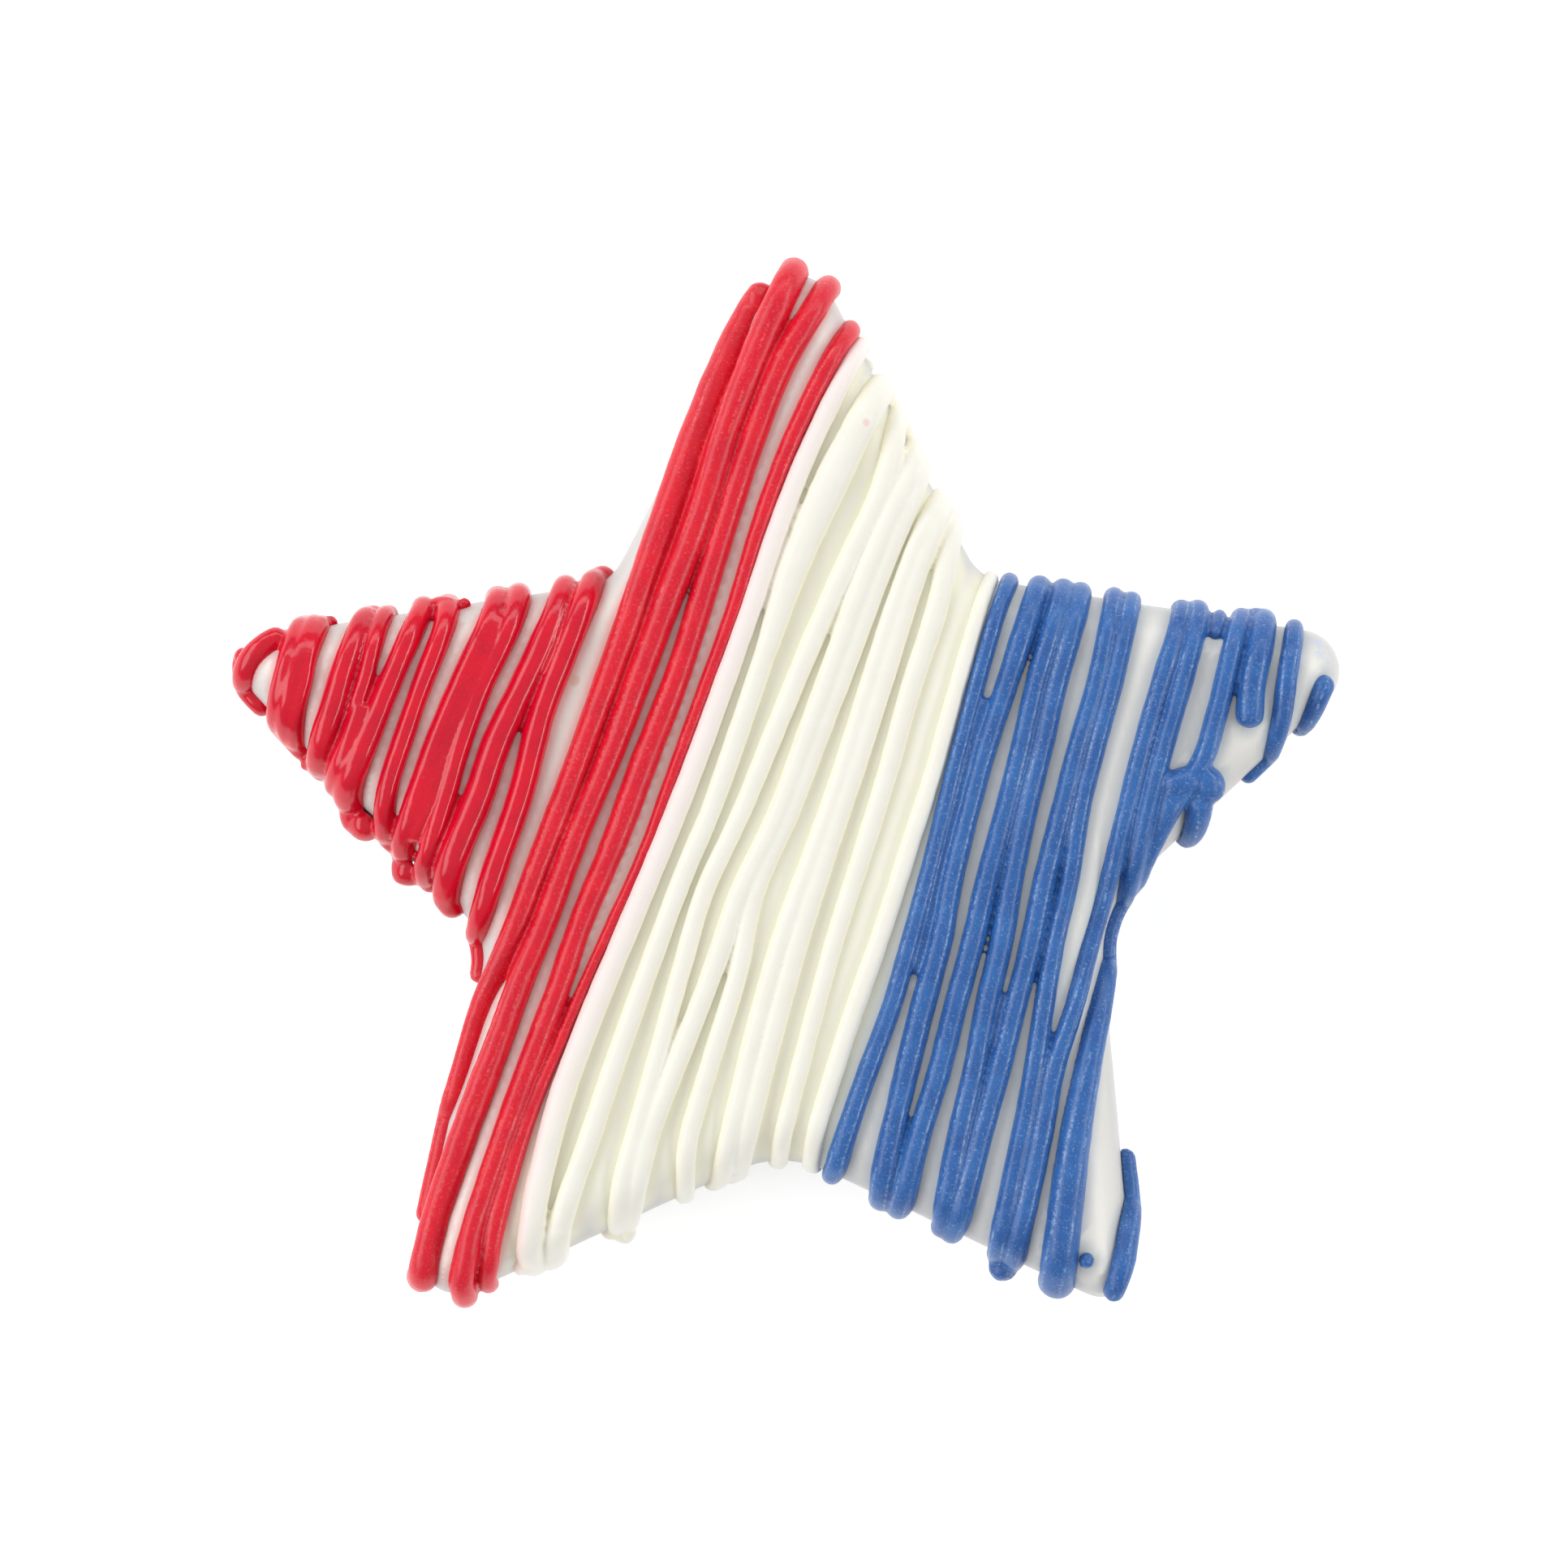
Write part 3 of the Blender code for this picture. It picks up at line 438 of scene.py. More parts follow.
def resampled(path):
    """The same path with evenly spaced stations, its corners eased."""
    lengths = np.linalg.norm(np.diff(path[:, :3], axis=0), axis=1)
    travelled = np.concatenate(([0], np.cumsum(lengths)))
    even = np.linspace(0, travelled[-1], max(4, round(travelled[-1] / PATH_STEP)) + 1)
    path = np.column_stack([np.interp(even, travelled, column) for column in path.T])
    for _ in range(CORNER_EASING):
        path[1:-1] = (path[:-2] + 2 * path[1:-1] + path[2:]) / 4
    return path


def strand_path(strand, edge_line):
    """Centre line of a strand over the biscuit, end to end."""
    profile = offset_profile(strand.lift)
    plan = smooth_route(strand.route)
    distance, inward = distance_inside(plan, edge_line)
    held = np.maximum(distance, profile[0][0])
    plan = plan + inward * (held - distance)[:, None]
    middle = stations(plan, inward, np.interp(held, profile[0], profile[1]),
                      np.interp(held, profile[0], profile[2]))
    start = run_over_edge(plan[0], held[0], inward[0], profile, strand.drops[0])
    end = run_over_edge(plan[-1], held[-1], inward[-1], profile, strand.drops[1])
    return resampled(np.vstack((start[::-1], middle, end)))


def section():
    """Arch of a strand's section, in shares of its width and height, from foot to foot."""
    angle = np.linspace(0, math.pi, SECTION_POINTS - 2)
    cos, sin = np.cos(angle), np.sin(angle)
    across = 0.5 * np.sign(cos) * np.abs(cos) ** FULLNESS
    up = np.abs(sin) ** FULLNESS
    return across, up


def wavering(count, seed):
    """Slow random swell and shrink along a strand, around 1."""
    row = seed * SEED_STRIDE
    values = [noise.noise(Vector((along * SLOW_WAVES, row, 0.0)))
              + 0.5 * noise.noise(Vector((along * QUICK_WAVES, row, 5.0)))
              for along in np.arange(count) * PATH_STEP]
    return 1.0 + WAVER * np.array(values)


def strand_shell(strand, edge_line, slimness, seed):
    """Closed shell of one strand: its vertices and faces, and how it lies."""
    path = strand_path(strand, edge_line)
    points, out = path[:, :3], path[:, 3:]
    along = np.gradient(points, axis=0)
    along /= np.linalg.norm(along, axis=1)[:, None]
    across = np.cross(along, out)
    across /= np.linalg.norm(across, axis=1)[:, None]
    up = np.cross(across, along)
    count = len(path)
    share = np.linspace(0, 1, count)
    width = np.interp(share, np.linspace(0, 1, len(strand.widths)), strand.widths)
    width = width * wavering(count, seed)
    thickness = 1.0 - (1.0 - WALL_FULLNESS) * (1.0 - np.abs(out[:, 2])) ** 2
    height = slimness * (width + EVENNESS * (width.mean() - width))
    height = height * thickness * wavering(count, seed + 0.5)
    from_end = np.minimum(np.arange(count), np.arange(count)[::-1]) * PATH_STEP
    reach = width * END_ROUNDING
    blunt = np.sqrt(1.0 - np.clip(1.0 - (from_end + 0.04) / reach, 0.0, 0.98) ** 2)
    width, height = width * blunt, height * blunt
    share_across, share_up = section()
    sideways = width[:, None] * np.concatenate((share_across, share_across[[-1, 0]]))
    upwards = np.hstack((height[:, None] * share_up, np.full((count, 2), -SINK)))
    rings = (points[:, None] + across[:, None] * sideways[..., None]
             + up[:, None] * upwards[..., None])
    return rings.reshape(-1, 3), tube_faces(count, SECTION_POINTS), Laid(points, across, width)


def tube_faces(rings, around):
    """Faces of a closed tube whose rings have this many points."""
    faces = []
    for ring in range(rings - 1):
        low, high = ring * around, (ring + 1) * around
        for i in range(around):
            j = (i + 1) % around
            faces.append((low + i, low + j, high + j, high + i))
    faces.append(tuple(range(around))[::-1])
    faces.append(tuple(range((rings - 1) * around, rings * around)))
    return faces


# ---- meshes ---------------------------------------------------------------------------------


def melted(name, vertices, faces, voxel, softening):
    """One closed mesh of everything that overlaps, in even small faces, with soft grooves."""
    mesh = bpy.data.meshes.new(name)
    mesh.from_pydata(vertices, [], faces)
    thing = bpy.data.objects.new(name, mesh)
    bpy.context.scene.collection.objects.link(thing)
    fuse = thing.modifiers.new("fuse", "REMESH")
    fuse.mode = "VOXEL"
    fuse.voxel_size = voxel
    soften = thing.modifiers.new("soften", "SMOOTH")
    soften.factor = 0.5
    soften.iterations = softening
    evaluated = thing.evaluated_get(bpy.context.evaluated_depsgraph_get())
    triangles = sum(len(face.vertices) - 2 for face in evaluated.data.polygons)
    if triangles > MOST_TRIANGLES:
        thin = thing.modifiers.new("thin", "DECIMATE")
        thin.ratio = MOST_TRIANGLES / triangles
        evaluated = thing.evaluated_get(bpy.context.evaluated_depsgraph_get())
    result = bpy.data.meshes.new_from_object(evaluated)
    thing.modifiers.clear()
    thing.data = result
    result.name = name
    bpy.data.meshes.remove(mesh)
    return thing


def vertex_array(mesh, key="co"):
    """Coordinates or normals of a mesh as an array."""
    source = mesh.vertices if key == "co" else mesh.vertex_normals
    values = np.empty(len(mesh.vertices) * 3, np.float32)
    source.foreach_get("co" if key == "co" else "vector", values)
    return values.reshape(-1, 3).astype(float)


def roughen(thing, layers):
    """Push a mesh's surface in and out by noise: pairs of wavelength and depth."""
    places = vertex_array(thing.data)
    normals = vertex_array(thing.data, "normal")
    depth = np.zeros(len(places))
    for wavelength, amount in layers:
        scaled = places / wavelength
        depth += amount * np.array([noise.noise(Vector(p)) for p in scaled])
    places += normals * depth[:, None]
    thing.data.vertices.foreach_set("co", places.astype(np.float32).ravel())
    thing.data.update()


def tree_of(points):
    """A search tree of points."""
    tree = kdtree.KDTree(len(points))
    for index, point in enumerate(points):
        tree.insert(point, index)
    tree.balance()
    return tree


def nearness(places, laid, reach):
    """How near each place is to the edge of the nearest strand: 1 touching, 0 past the reach."""
    points, _, width = [np.concatenate(column) for column in zip(*laid)]
    tree = tree_of(points)
    found = [tree.find(place)[1:] for place in places]
    gap = np.array([distance - width[index] / 2 for index, distance in found])
    share = np.clip(1.0 - gap / reach, 0.0, 1.0)
    return share * share * (3 - 2 * share)


def places_across(places, laid):
    """Where each place lies across its nearest strand: -1 right edge, 0 middle, 1 left edge."""
    points, across, width = [np.concatenate(column) for column in zip(*laid)]
    tree = tree_of(points)
    nearest = np.array([tree.find(place)[1] for place in places])
    arm = places - points[nearest]
    return (arm * across[nearest]).sum(1) / (width[nearest] / 2)


def keep_values(thing, name, values):
    """Store one number for each vertex, for the material to read."""
    layer = thing.data.attributes.new(name, "FLOAT", "POINT")
    layer.data.foreach_set("value", np.asarray(values, np.float32))


def finish_piece(thing, material, node):
    """Scale to metres, give the material, hang it under the root and hide the part it stands for.
    """
    thing.data.transform(Matrix.Scale(MM, 4))
    thing.data.materials.clear()
    thing.data.materials.append(material)
    thing.data.shade_smooth()
    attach(thing, "root")
    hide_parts(node)


# ---- materials ------------------------------------------------------------------------------


class Recipe:
    """A Principled material and short ways to add nodes to it."""

    def __init__(self, name, **shader_inputs):
        self.material = bpy.data.materials.new(name)
        self.material.use_nodes = True
        self.tree = self.material.node_tree
        self.shader = self.tree.nodes["Principled BSDF"]
        for socket, value in shader_inputs.items():
            self.shader.inputs[socket.replace("_", " ")].default_value = value
        self.place = self.node("ShaderNodeTexCoord").outputs["Object"]

    def node(self, kind, **settings):
        """A new node with these settings."""
        made = self.tree.nodes.new(kind)
        for key, value in settings.items():
            setattr(made, key, value)
        return made

    def link(self, source, socket):
        self.tree.links.new(source, socket)

    def noise(self, size_mm, detail=3.0, roughness=0.55):
        """Noise with features of this size."""
        made = self.node("ShaderNodeTexNoise")
        made.inputs["Scale"].default_value = 1.0 / (size_mm * MM)
        made.inputs["Detail"].default_value = detail
        made.inputs["Roughness"].default_value = roughness
        self.link(self.place, made.inputs["Vector"])
        return made.outputs["Fac"]

    def ramp(self, source, low, high, out_low=0.0, out_high=1.0):
        """A soft step from one value to the other as the source goes from low to high."""
        made = self.node("ShaderNodeMapRange", interpolation_type="SMOOTHSTEP")
        for socket, value in zip(("From Min", "From Max", "To Min", "To Max"),
                                 (low, high, out_low, out_high)):
            made.inputs[socket].default_value = value
        self.link(source, made.inputs["Value"])
        return made.outputs["Result"]

    def math(self, operation, a, b=0.0):
        """One arithmetic step; each side is a number or another node's output."""
        made = self.node("ShaderNodeMath", operation=operation)
        for socket, value in zip(made.inputs, (a, b)):
            if isinstance(value, (int, float)):
                socket.default_value = value
            else:
                self.link(value, socket)
        return made.outputs[0]

    def product(self, *factors):
        """All the factors multiplied."""
        result = factors[0]
        for factor in factors[1:]:
            result = self.math("MULTIPLY", result, factor)
        return result

    def height(self):
        """Height above the table, in millimetres."""
        split = self.node("ShaderNodeSeparateXYZ")
        self.link(self.place, split.inputs["Vector"])
        return self.math("DIVIDE", split.outputs["Z"], MM)

    def attribute(self, name):
        """The number kept under this name at each vertex."""
        return self.node("ShaderNodeAttribute", attribute_name=name).outputs["Fac"]

    def line(self, source, middle, half_width):
        """1 where the source is at this value, falling to 0 on both sides."""
        gap = self.math("ABSOLUTE", self.math("SUBTRACT", source, middle))
        return self.ramp(gap, 0.0, half_width, 1.0, 0.0)

    def spot(self, place_mm, radius_mm, blur=0.5):
        """1 around a place, falling to 0 at this radius."""
        made = self.node("ShaderNodeVectorMath", operation="DISTANCE")
        made.inputs[1].default_value = [value * MM for value in place_mm]
        self.link(self.place, made.inputs[0])
        return self.ramp(made.outputs["Value"], radius_mm * blur * MM, radius_mm * MM, 1.0, 0.0)

    def mix(self, share, first, second):
        """Mix two colours; each is a colour or another node's output."""
        made = self.node("ShaderNodeMix", data_type="RGBA")
        self.link(share, made.inputs["Factor"])
        colour_inputs = [socket for socket in made.inputs if socket.type == "RGBA"]
        for socket, value in zip(colour_inputs, (first, second)):
            if isinstance(value, tuple):
                socket.default_value = (*value, 1.0)
            else:
                self.link(value, socket)
        return [socket for socket in made.outputs if socket.type == "RGBA"][0]

    def bump(self, layers):
        """Fine relief: pairs of a height source and its depth in millimetres."""
        normal = None
        for source, depth in layers:
            made = self.node("ShaderNodeBump")
            made.inputs["Strength"].default_value = 1.0
            made.inputs["Distance"].default_value = depth * MM
            self.link(source, made.inputs["Height"])
            if normal is not None:
                self.link(normal, made.inputs["Normal"])
            normal = made.outputs["Normal"]
        self.link(normal, self.shader.inputs["Normal"])


SCATTER_DEPTH = 0.001  # metres

COATING = (0.86, 0.845, 0.795)
COATING_SHADE = (0.83, 0.812, 0.76)
# painted shade: the coating darker along its rim, lower down its side
RIM_SHADE = (0.58, 0.575, 0.555)
# painted shade in the narrow gaps beside the red and the blue icing, in the icing's reflected
# colour
RED_GAP_SHADE = (0.68, 0.22, 0.22)
BLUE_GAP_SHADE = (0.38, 0.44, 0.49)
CREAM = (0.86, 0.835, 0.66)
STAIN = (0.70, 0.50, 0.36)
STAIN_PLACE = (-16.8, 8.3, 10.5)  # millimetres, as are the places and reaches below
STAIN_RADIUS = 0.6
STAIN_STRENGTH = 0.6
BLUE_SMEAR = (0.38, 0.52, 0.78)
SMEAR_PLACE = (43.4, 10.9, 8.5)
SMEAR_RADIUS = 1.9
SMEAR_STRENGTH = 0.55
COATING_RELIEF = ((1.6, 0.02), (0.3, 0.004))  # pairs of feature size and depth
TOP_HEIGHTS = (6.6, 8.8)  # the neighbours' tints begin and are full at these heights
RIM_SHADE_HEIGHTS = (7.8, 10.4)  # the painted shade along the rim is full and ends at these heights

# Each tint lies beside the icing of one colour: how far it reaches, how strong it is, its colour.
Tint = namedtuple("Tint", "reach strength colour")
COATING_TINTS_AND_GAP_SHADE = {
    "white": Tint(1.8, 0.8, CREAM),
    # beside the red and the blue icing: painted shade with the icing's reflected colour
    "red": Tint(0.75, 0.6, RED_GAP_SHADE),
    "blue": Tint(1.2, 0.5, BLUE_GAP_SHADE),
}


def coating_material():
    """Smooth set coating, cream white, with painted shade along its rim, and tinted by the icing
    that lies close on both sides, mostly with painted shade and the icing's reflected colour.
    """
    recipe = Recipe("white_coating", Roughness=0.42, Subsurface_Weight=0.15,
                    Subsurface_Scale=SCATTER_DEPTH, Coat_Weight=0.1, Coat_Roughness=0.25)
    base = recipe.mix(recipe.ramp(recipe.noise(9.0), 0.35, 0.65), COATING, COATING_SHADE)
    # painted shade along the rim, darker lower down the side
    base = recipe.mix(recipe.ramp(recipe.height(), *RIM_SHADE_HEIGHTS, 1.0, 0.0), base, RIM_SHADE)
    on_top = recipe.ramp(recipe.height(), *TOP_HEIGHTS)
    # painted shade and reflected colour beside the red and the blue icing, a cream tone beside the
    # white
    for neighbour, tint in COATING_TINTS_AND_GAP_SHADE.items():
        near = recipe.product(recipe.attribute("near_" + neighbour), on_top, tint.strength)
        base = recipe.mix(near, base, tint.colour)
    stain = recipe.product(recipe.spot(STAIN_PLACE, STAIN_RADIUS), STAIN_STRENGTH)
    base = recipe.mix(stain, base, STAIN)
    cloud = recipe.ramp(recipe.noise(0.8), 0.42, 0.62)
    patch = recipe.spot(SMEAR_PLACE, SMEAR_RADIUS, blur=0.2)
    base = recipe.mix(recipe.product(patch, cloud, SMEAR_STRENGTH), base, BLUE_SMEAR)
    recipe.link(base, recipe.shader.inputs["Base Color"])
    recipe.bump([(recipe.noise(size), depth) for size, depth in COATING_RELIEF])
    return recipe.material


# How an icing looks: its colour, its deeper and paler tones, its roughness, and how much it
# shows of fine pale grain, of painted highlights on its flanks and painted glints on its low ends.
Look = namedtuple("Look", "colour deep pale gloss grain chalk bloom")

GLOSSY_RED = Look(colour=(0.67, 0.001, 0.021), deep=(0.58, 0.001, 0.021), pale=(0.82, 0.22, 0.2),
                  gloss=0.17, grain=0.08, chalk=0.0, bloom=0.3)
GRAINY_RED = Look(colour=(0.70, 0.003, 0.021), deep=(0.62, 0.001, 0.02), pale=(0.84, 0.2, 0.19),
                  gloss=0.33, grain=0.45, chalk=0.5, bloom=0.25)
WHITE = Look(colour=(0.84, 0.825, 0.75), deep=(0.83, 0.81, 0.725), pale=(0.87, 0.86, 0.81),
             gloss=0.38, grain=0.3, chalk=0.0, bloom=0.0)
BLUE = Look(colour=(0.026, 0.13, 0.40), deep=(0.018, 0.095, 0.33), pale=(0.28, 0.43, 0.68),
            gloss=0.32, grain=0.62, chalk=0.75, bloom=1.0)

WHITE_SIDE = (0.93, 0.87, 0.66)  # cream in the creases along a white strand
WHITE_SIDE_STRENGTH = 0.7
WHITE_SIDE_BAND = (0.65, 1.1)  # where it begins and is full, 1 being a strand's edge
WHITE_TINT = Tint(3.0, 0.9, (0.88, 0.78, 0.77))  # pink on the white icing beside the red
RED_SPECK = (0.9, 0.45, 0.4)
SPECK_PLACE = (6.6, 28.9, 11.4)
SPECK_RADIUS = 0.4
SPECK_STRENGTH = 0.5
GLINT_HEIGHTS = (6.8, 9.0)  # the painted glint is full below the first and ends at the second
SEE_THROUGH = 0.1  # how much light scatters inside the icing
GLOSS_SPREAD = (0.85, 1.25)  # the roughness varies between these shares of a look's own
ICING_RELIEF = 0.02  # depth of the relief of an icing that is all grain
HIGHLIGHT_LINES = ((0.58, 0.16), (-0.5, 0.13))  # painted highlights: where they run across a strand, and how wide


def icing_material(name, look):
    """Set icing: speckles, painted highlights on its flanks, painted glints on its low ends."""
    recipe = Recipe(name, Roughness=look.gloss, Subsurface_Weight=SEE_THROUGH,
                    Subsurface_Scale=SCATTER_DEPTH)
    speckle = recipe.noise(0.2, detail=4.0, roughness=0.7)
    cloud = recipe.noise(2.5)
    base = recipe.mix(recipe.ramp(cloud, 0.3, 0.7), look.colour, look.deep)
    grain = recipe.product(recipe.ramp(speckle, 0.54, 0.72), look.grain)
    base = recipe.mix(grain, base, look.pale)
    # painted highlight lines along both flanks, broken up by noise
    if look.chalk:
        highlight_breakup = recipe.ramp(recipe.noise(0.3, detail=3.0, roughness=0.7), 0.44, 0.6)
        patches = recipe.ramp(recipe.noise(4.0), 0.42, 0.58)
        across = recipe.attribute("across")
        for middle, half_width in HIGHLIGHT_LINES:
            on_line = recipe.line(across, middle, half_width)
            chalk = recipe.product(on_line, highlight_breakup, patches, look.chalk)
            base = recipe.mix(chalk, base, look.pale)
    # painted glint: pale reflection of the white table on the low ends, broken up by noise
    if look.bloom:
        glint_breakup = recipe.ramp(recipe.noise(0.35, detail=4.0, roughness=0.75), 0.38, 0.6)
        low = recipe.ramp(recipe.height(), *GLINT_HEIGHTS, 1.0, 0.0)
        bloom = recipe.product(recipe.attribute("low_end"), low, glint_breakup, look.bloom)
        nearly_white = tuple(0.45 + 0.5 * value for value in look.pale)
        base = recipe.mix(bloom, base, nearly_white)
    if look is WHITE:
        from_middle = recipe.math("ABSOLUTE", recipe.attribute("across"))
        side = recipe.product(recipe.ramp(from_middle, *WHITE_SIDE_BAND), WHITE_SIDE_STRENGTH)
        base = recipe.mix(side, base, WHITE_SIDE)
        blush = recipe.product(recipe.attribute("near_red"), WHITE_TINT.strength)
        base = recipe.mix(blush, base, WHITE_TINT.colour)
        speck = recipe.product(recipe.spot(SPECK_PLACE, SPECK_RADIUS), SPECK_STRENGTH)
        base = recipe.mix(speck, base, RED_SPECK)
    recipe.link(base, recipe.shader.inputs["Base Color"])
    glossier, duller = (look.gloss * share for share in GLOSS_SPREAD)
    recipe.link(recipe.ramp(speckle, 0.3, 0.7, glossier, duller),
                recipe.shader.inputs["Roughness"])
    relief = ICING_RELIEF * look.grain
    recipe.bump([(recipe.noise(0.9), relief), (speckle, relief + 0.001)])
    return recipe.material


# ---- pieces ---------------------------------------------------------------------------------

# Strands of one colour that fuse into one piece: the piece's name and the node it stands for.
Run = namedtuple("Run", "name node colour strands material roughness", defaults=(FINE_ROUGHNESS,))


def lofted_star():
    """Vertices and faces of the whole star: foot, upright side, shoulder and crown."""
    levels = [(FOOT_INSET, 0.0), (FOOT_INSET * 0.3, FOOT_HEIGHT * 0.35), (0.0, FOOT_HEIGHT)]
    levels.append((0.0, WALL_TOP))
    for share in np.linspace(0.0, 1.0, SHOULDER_RINGS + 1)[1:] ** SHOULDER_CROWDING:
        levels.append((SHOULDER * share, float(top_height(SHOULDER * share))))
    for inset in np.linspace(SHOULDER, CROWN_INSET, CROWN_RINGS + 1)[1:]:
        levels.append((inset, float(top_height(inset))))
    rings = [np.column_stack((outline(inset), np.full(len(STAR_CORNERS) * (ARC_STEPS + 1), z)))
             for inset, z in levels]
    return np.vstack(rings), tube_faces(len(rings), len(rings[0]))


def make_coating(lines):
    """The coated biscuit. `lines` says how the strands of each colour lie on it."""
    vertices, faces = lofted_star()
    thing = melted("star_coating", vertices, faces, COATING_VOXEL, COATING_SOFTENING)
    roughen(thing, COATING_ROUGHNESS)
    places = vertex_array(thing.data)
    places[:, 2] = np.maximum(places[:, 2], 0.0)
    thing.data.vertices.foreach_set("co", places.astype(np.float32).ravel())
    # how near each colour of icing lies, for the painted gap shade and tints
    for neighbour, tint in COATING_TINTS_AND_GAP_SHADE.items():
        keep_values(thing, "near_" + neighbour, nearness(places, lines[neighbour], tint.reach))
    finish_piece(thing, coating_material(), "coated_cookie")


def make_icing(run, edge_line, first_seed, lines):
    """One run of fused strands. Adds how its strands lie to `lines`."""
    vertices, faces, laid, offset = [], [], [], 0
    slimness = WHITE_SLIMNESS if run.colour == "white" else STRAND_SLIMNESS
    for index, strand in enumerate(run.strands):
        shell, shell_faces, lie = strand_shell(strand, edge_line, slimness, first_seed + index)
        vertices.append(shell)
        faces += [tuple(corner + offset for corner in face) for face in shell_faces]
        offset += len(shell)
        laid.append(lie)
    voxel = STRAND_VOXEL if len(run.strands) < MANY_STRANDS else BAND_VOXEL
    thing = melted(run.name, np.vstack(vertices), faces, voxel, STRAND_SOFTENING)
    roughen(thing, run.roughness)
    places = vertex_array(thing.data)
    keep_values(thing, "across", places_across(places, laid))
    low_ends = [Laid(*(part[-1:] for part in lie)) for lie, strand in zip(laid, run.strands)
                if strand.drops[1] > 0]
    # nearness to the low ends, for the painted glint
    keep_values(thing, "low_end", nearness(places, low_ends, GLINT_REACH) if low_ends
                else np.zeros(len(places)))
    if run.colour == "white":
        keep_values(thing, "near_red", nearness(places, lines["red"], WHITE_TINT.reach))
    finish_piece(thing, run.material, run.node)
    lines[run.colour] += laid


def make_biscuit():
    """All the pieces of the biscuit."""
    edge_line = outline(0.0)
    glossy = icing_material("red_icing_glossy", GLOSSY_RED)
    grainy = icing_material("red_icing_grainy", GRAINY_RED)
    white = icing_material("white_icing", WHITE)
    blue = icing_material("blue_icing", BLUE)
    runs = [
        Run("red_strands_left_arm", "red_icing_left_arm", "red", RED_LEFT_ARM, glossy,
            SMOOTH_ROUGHNESS),
        Run("red_strands_long", "red_icing_long", "red", RED_LONG, grainy),
        Run("white_strands_band", "white_icing_band", "white", WHITE_BAND, white),
        Run("white_strands_middle", "white_icing_middle", "white", WHITE_MIDDLE, white),
        Run("white_strand_last", "white_icing_last", "white", WHITE_LAST, white),
        Run("blue_strands_band", "blue_icing_band", "blue", BLUE_BAND, blue),
        Run("blue_strand_near_point", "blue_icing_near_point", "blue", BLUE_NEAR_POINT, blue),
        Run("blue_strand_at_point", "blue_icing_at_point", "blue", BLUE_AT_POINT, blue),
        Run("blue_strand_lower_edge", "blue_icing_lower_edge", "blue", BLUE_LOWER_EDGE, blue),
        Run("blue_drop", "blue_icing_drop", "blue", BLUE_DROP, blue),
    ]
    lines = {"red": [], "white": [], "blue": []}
    seed = 1
    for run in runs:
        make_icing(run, edge_line, seed, lines)
        seed += len(run.strands)
    make_coating(lines)


# ---- table, light and camera ----------------------------------------------------------------

TABLE_SIZE = 3.0
TABLE_TOP = -0.00005  # a hair below the biscuit, so that their faces don't coincide
TABLE_WHITES = ((0.92, 0.92, 0.92), (0.93, 0.93, 0.93))
TABLE_GLOW = 0.35
HORIZON_GLOW = 0.32
OVERHEAD_GLOW = 0.55
GLOW_HEIGHTS = (0.15, 0.8)  # where the change begins and ends, 1 being straight up
VIEW_WIDTH = 0.12558  # what the photograph's frame takes in, metres
SHARP_HEIGHT = 0.009  # height of the plane that has that width
LENS = 420.0
SENSOR = 36.0


def make_table():
    """A plain white table top."""
    mesh = bpy.data.meshes.new("table")
    half = TABLE_SIZE / 2
    corners = [(-half, -half), (half, -half), (half, half), (-half, half)]
    mesh.from_pydata([(x, y, TABLE_TOP) for x, y in corners], [], [(0, 1, 2, 3)])
    table = bpy.data.objects.new("table", mesh)
    bpy.context.scene.collection.objects.link(table)
    recipe = Recipe("table_white", Roughness=0.9)
    base = recipe.mix(recipe.noise(40.0), *TABLE_WHITES)
    recipe.link(base, recipe.shader.inputs["Base Color"])
    recipe.shader.inputs["Emission Color"].default_value = (1.0, 1.0, 1.0, 1.0)
    recipe.shader.inputs["Emission Strength"].default_value = TABLE_GLOW
    mesh.materials.append(recipe.material)


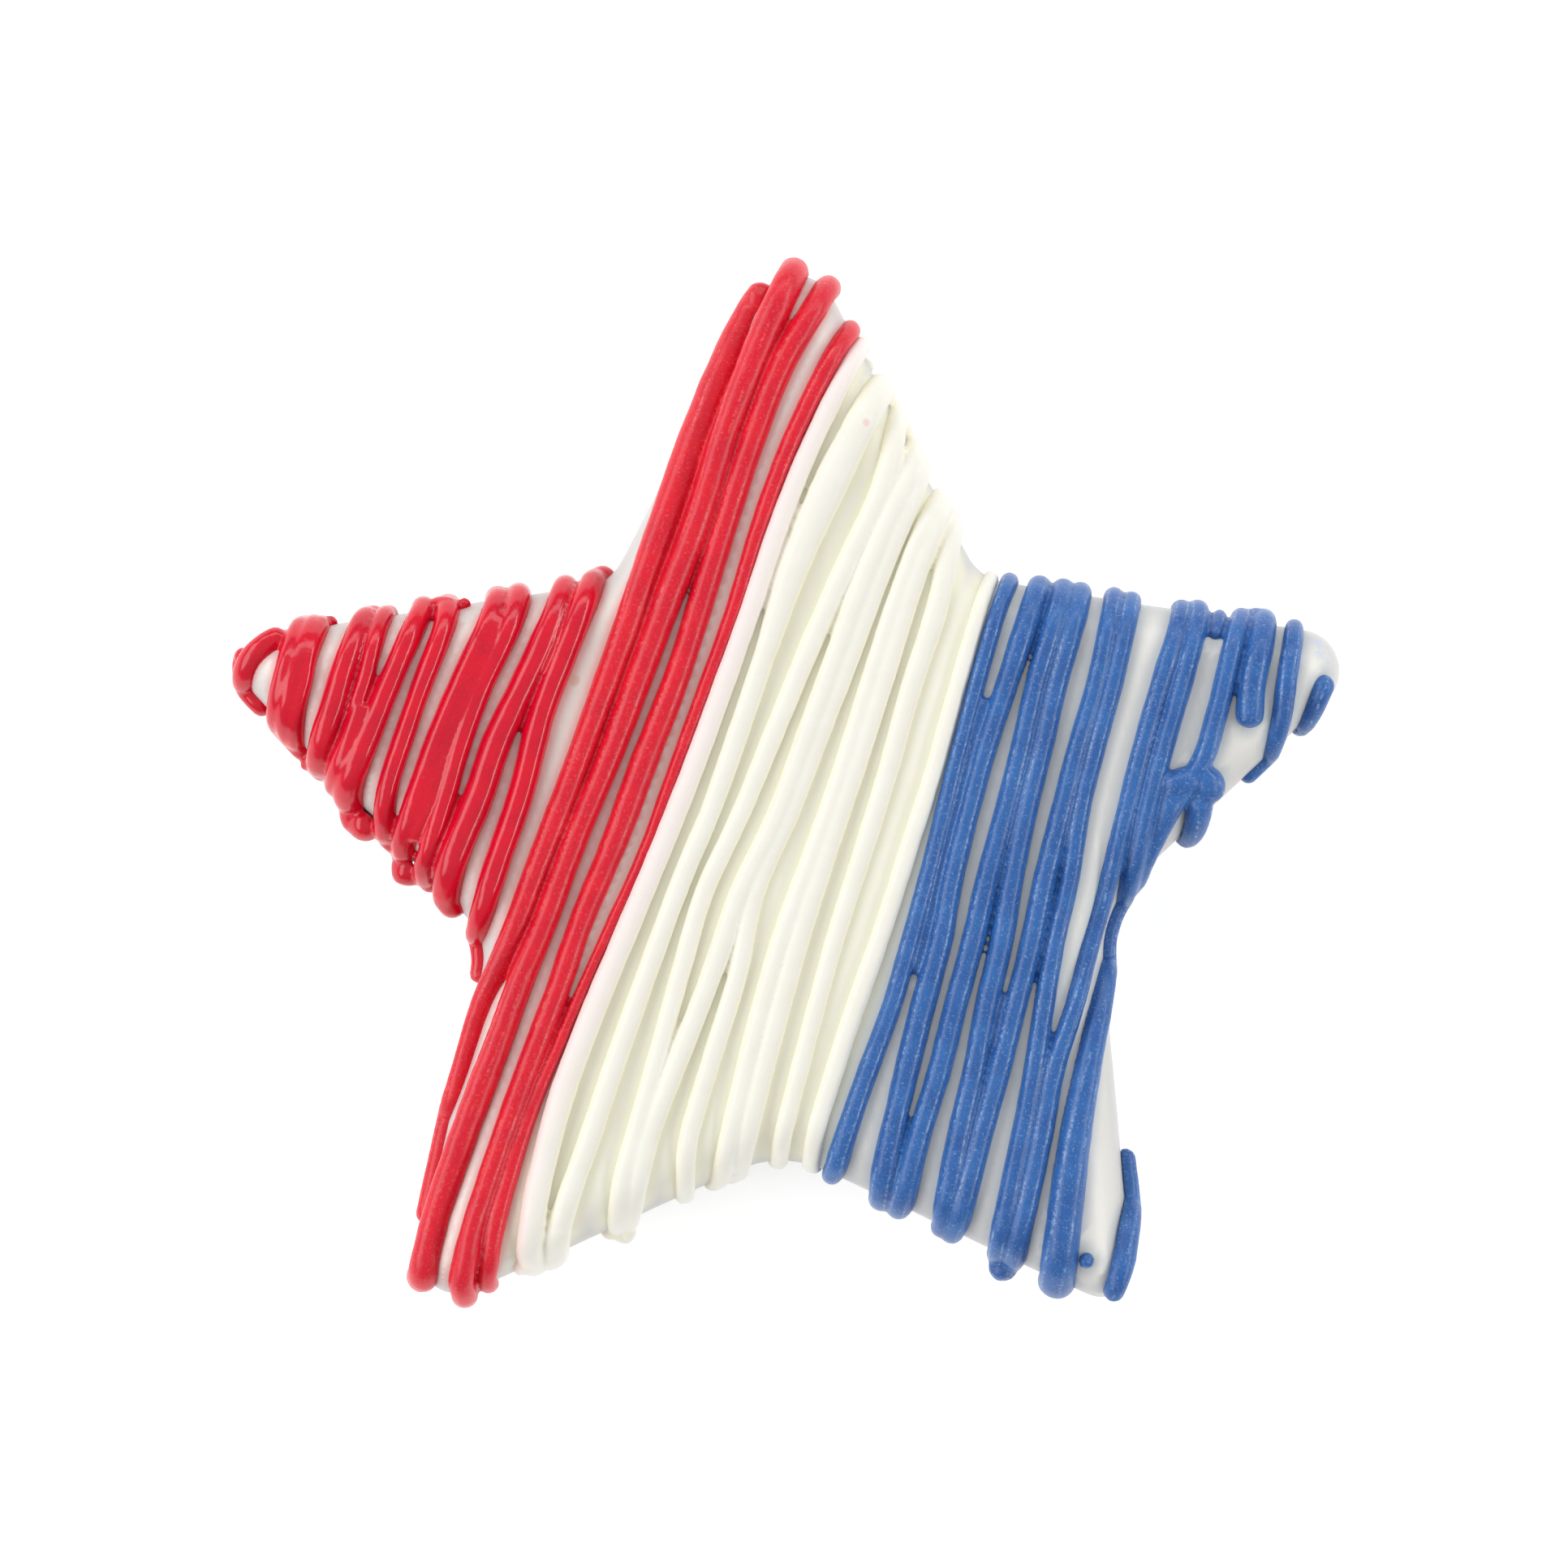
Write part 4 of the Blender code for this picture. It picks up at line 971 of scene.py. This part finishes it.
def make_room():
    """A white room, a little brighter overhead than around the horizon."""
    world = bpy.data.worlds.new("room")
    world.use_nodes = True
    tree = world.node_tree
    direction = tree.nodes.new("ShaderNodeTexCoord").outputs["Generated"]
    split = tree.nodes.new("ShaderNodeSeparateXYZ")
    glow = tree.nodes.new("ShaderNodeMapRange")
    glow.interpolation_type = "SMOOTHSTEP"
    for socket, value in zip(("From Min", "From Max", "To Min", "To Max"),
                             (*GLOW_HEIGHTS, HORIZON_GLOW, OVERHEAD_GLOW)):
        glow.inputs[socket].default_value = value
    tree.links.new(direction, split.inputs["Vector"])
    tree.links.new(split.outputs["Z"], glow.inputs["Value"])
    tree.links.new(glow.outputs["Result"], tree.nodes["Background"].inputs["Strength"])
    tree.nodes["Background"].inputs["Color"].default_value = (1.0, 1.0, 1.0, 1.0)
    bpy.context.scene.world = world


def area_light(name, length, breadth, place, radiance):
    """A soft rectangular light that faces the biscuit, its length level with the table."""
    light = bpy.data.lights.new(name, "AREA")
    light.shape = "RECTANGLE"
    light.size = length
    light.size_y = breadth
    light.energy = radiance * math.pi * length * breadth
    lamp = bpy.data.objects.new(name, light)
    lamp.location = place
    lamp.rotation_euler = Vector(place).to_track_quat("Z", "Y").to_euler()
    bpy.context.scene.collection.objects.link(lamp)


def make_lights():
    """A broad light on the left, a narrow one on the right and a dim one behind."""
    area_light("left_light", 1.4, 0.46, (-0.72, 0.0, 0.50), 3.0)
    area_light("right_light", 1.4, 0.13, (0.75, 0.0, 0.42), 7.0)
    area_light("back_light", 1.2, 0.25, (0.0, 0.75, 0.45), 2.5)


def make_camera():
    """Straight above the biscuit, like the photograph."""
    camera = bpy.data.cameras.new("camera")
    camera.lens = LENS
    camera.sensor_width = SENSOR
    camera.clip_end = 10.0
    viewer = bpy.data.objects.new("camera", camera)
    viewer.location = (0.0, 0.0, SHARP_HEIGHT + VIEW_WIDTH * LENS / SENSOR)
    bpy.context.scene.collection.objects.link(viewer)
    bpy.context.scene.camera = viewer
    bpy.context.scene.view_settings.view_transform = "Standard"


# ---- the scene ------------------------------------------------------------------------------

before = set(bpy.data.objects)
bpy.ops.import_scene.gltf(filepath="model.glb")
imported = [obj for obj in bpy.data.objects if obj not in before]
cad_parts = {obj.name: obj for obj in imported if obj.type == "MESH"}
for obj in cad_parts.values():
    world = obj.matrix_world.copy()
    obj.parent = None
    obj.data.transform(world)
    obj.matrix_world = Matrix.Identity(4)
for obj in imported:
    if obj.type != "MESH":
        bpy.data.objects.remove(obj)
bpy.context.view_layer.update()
make_biscuit()
make_table()
make_room()
make_lights()
make_camera()
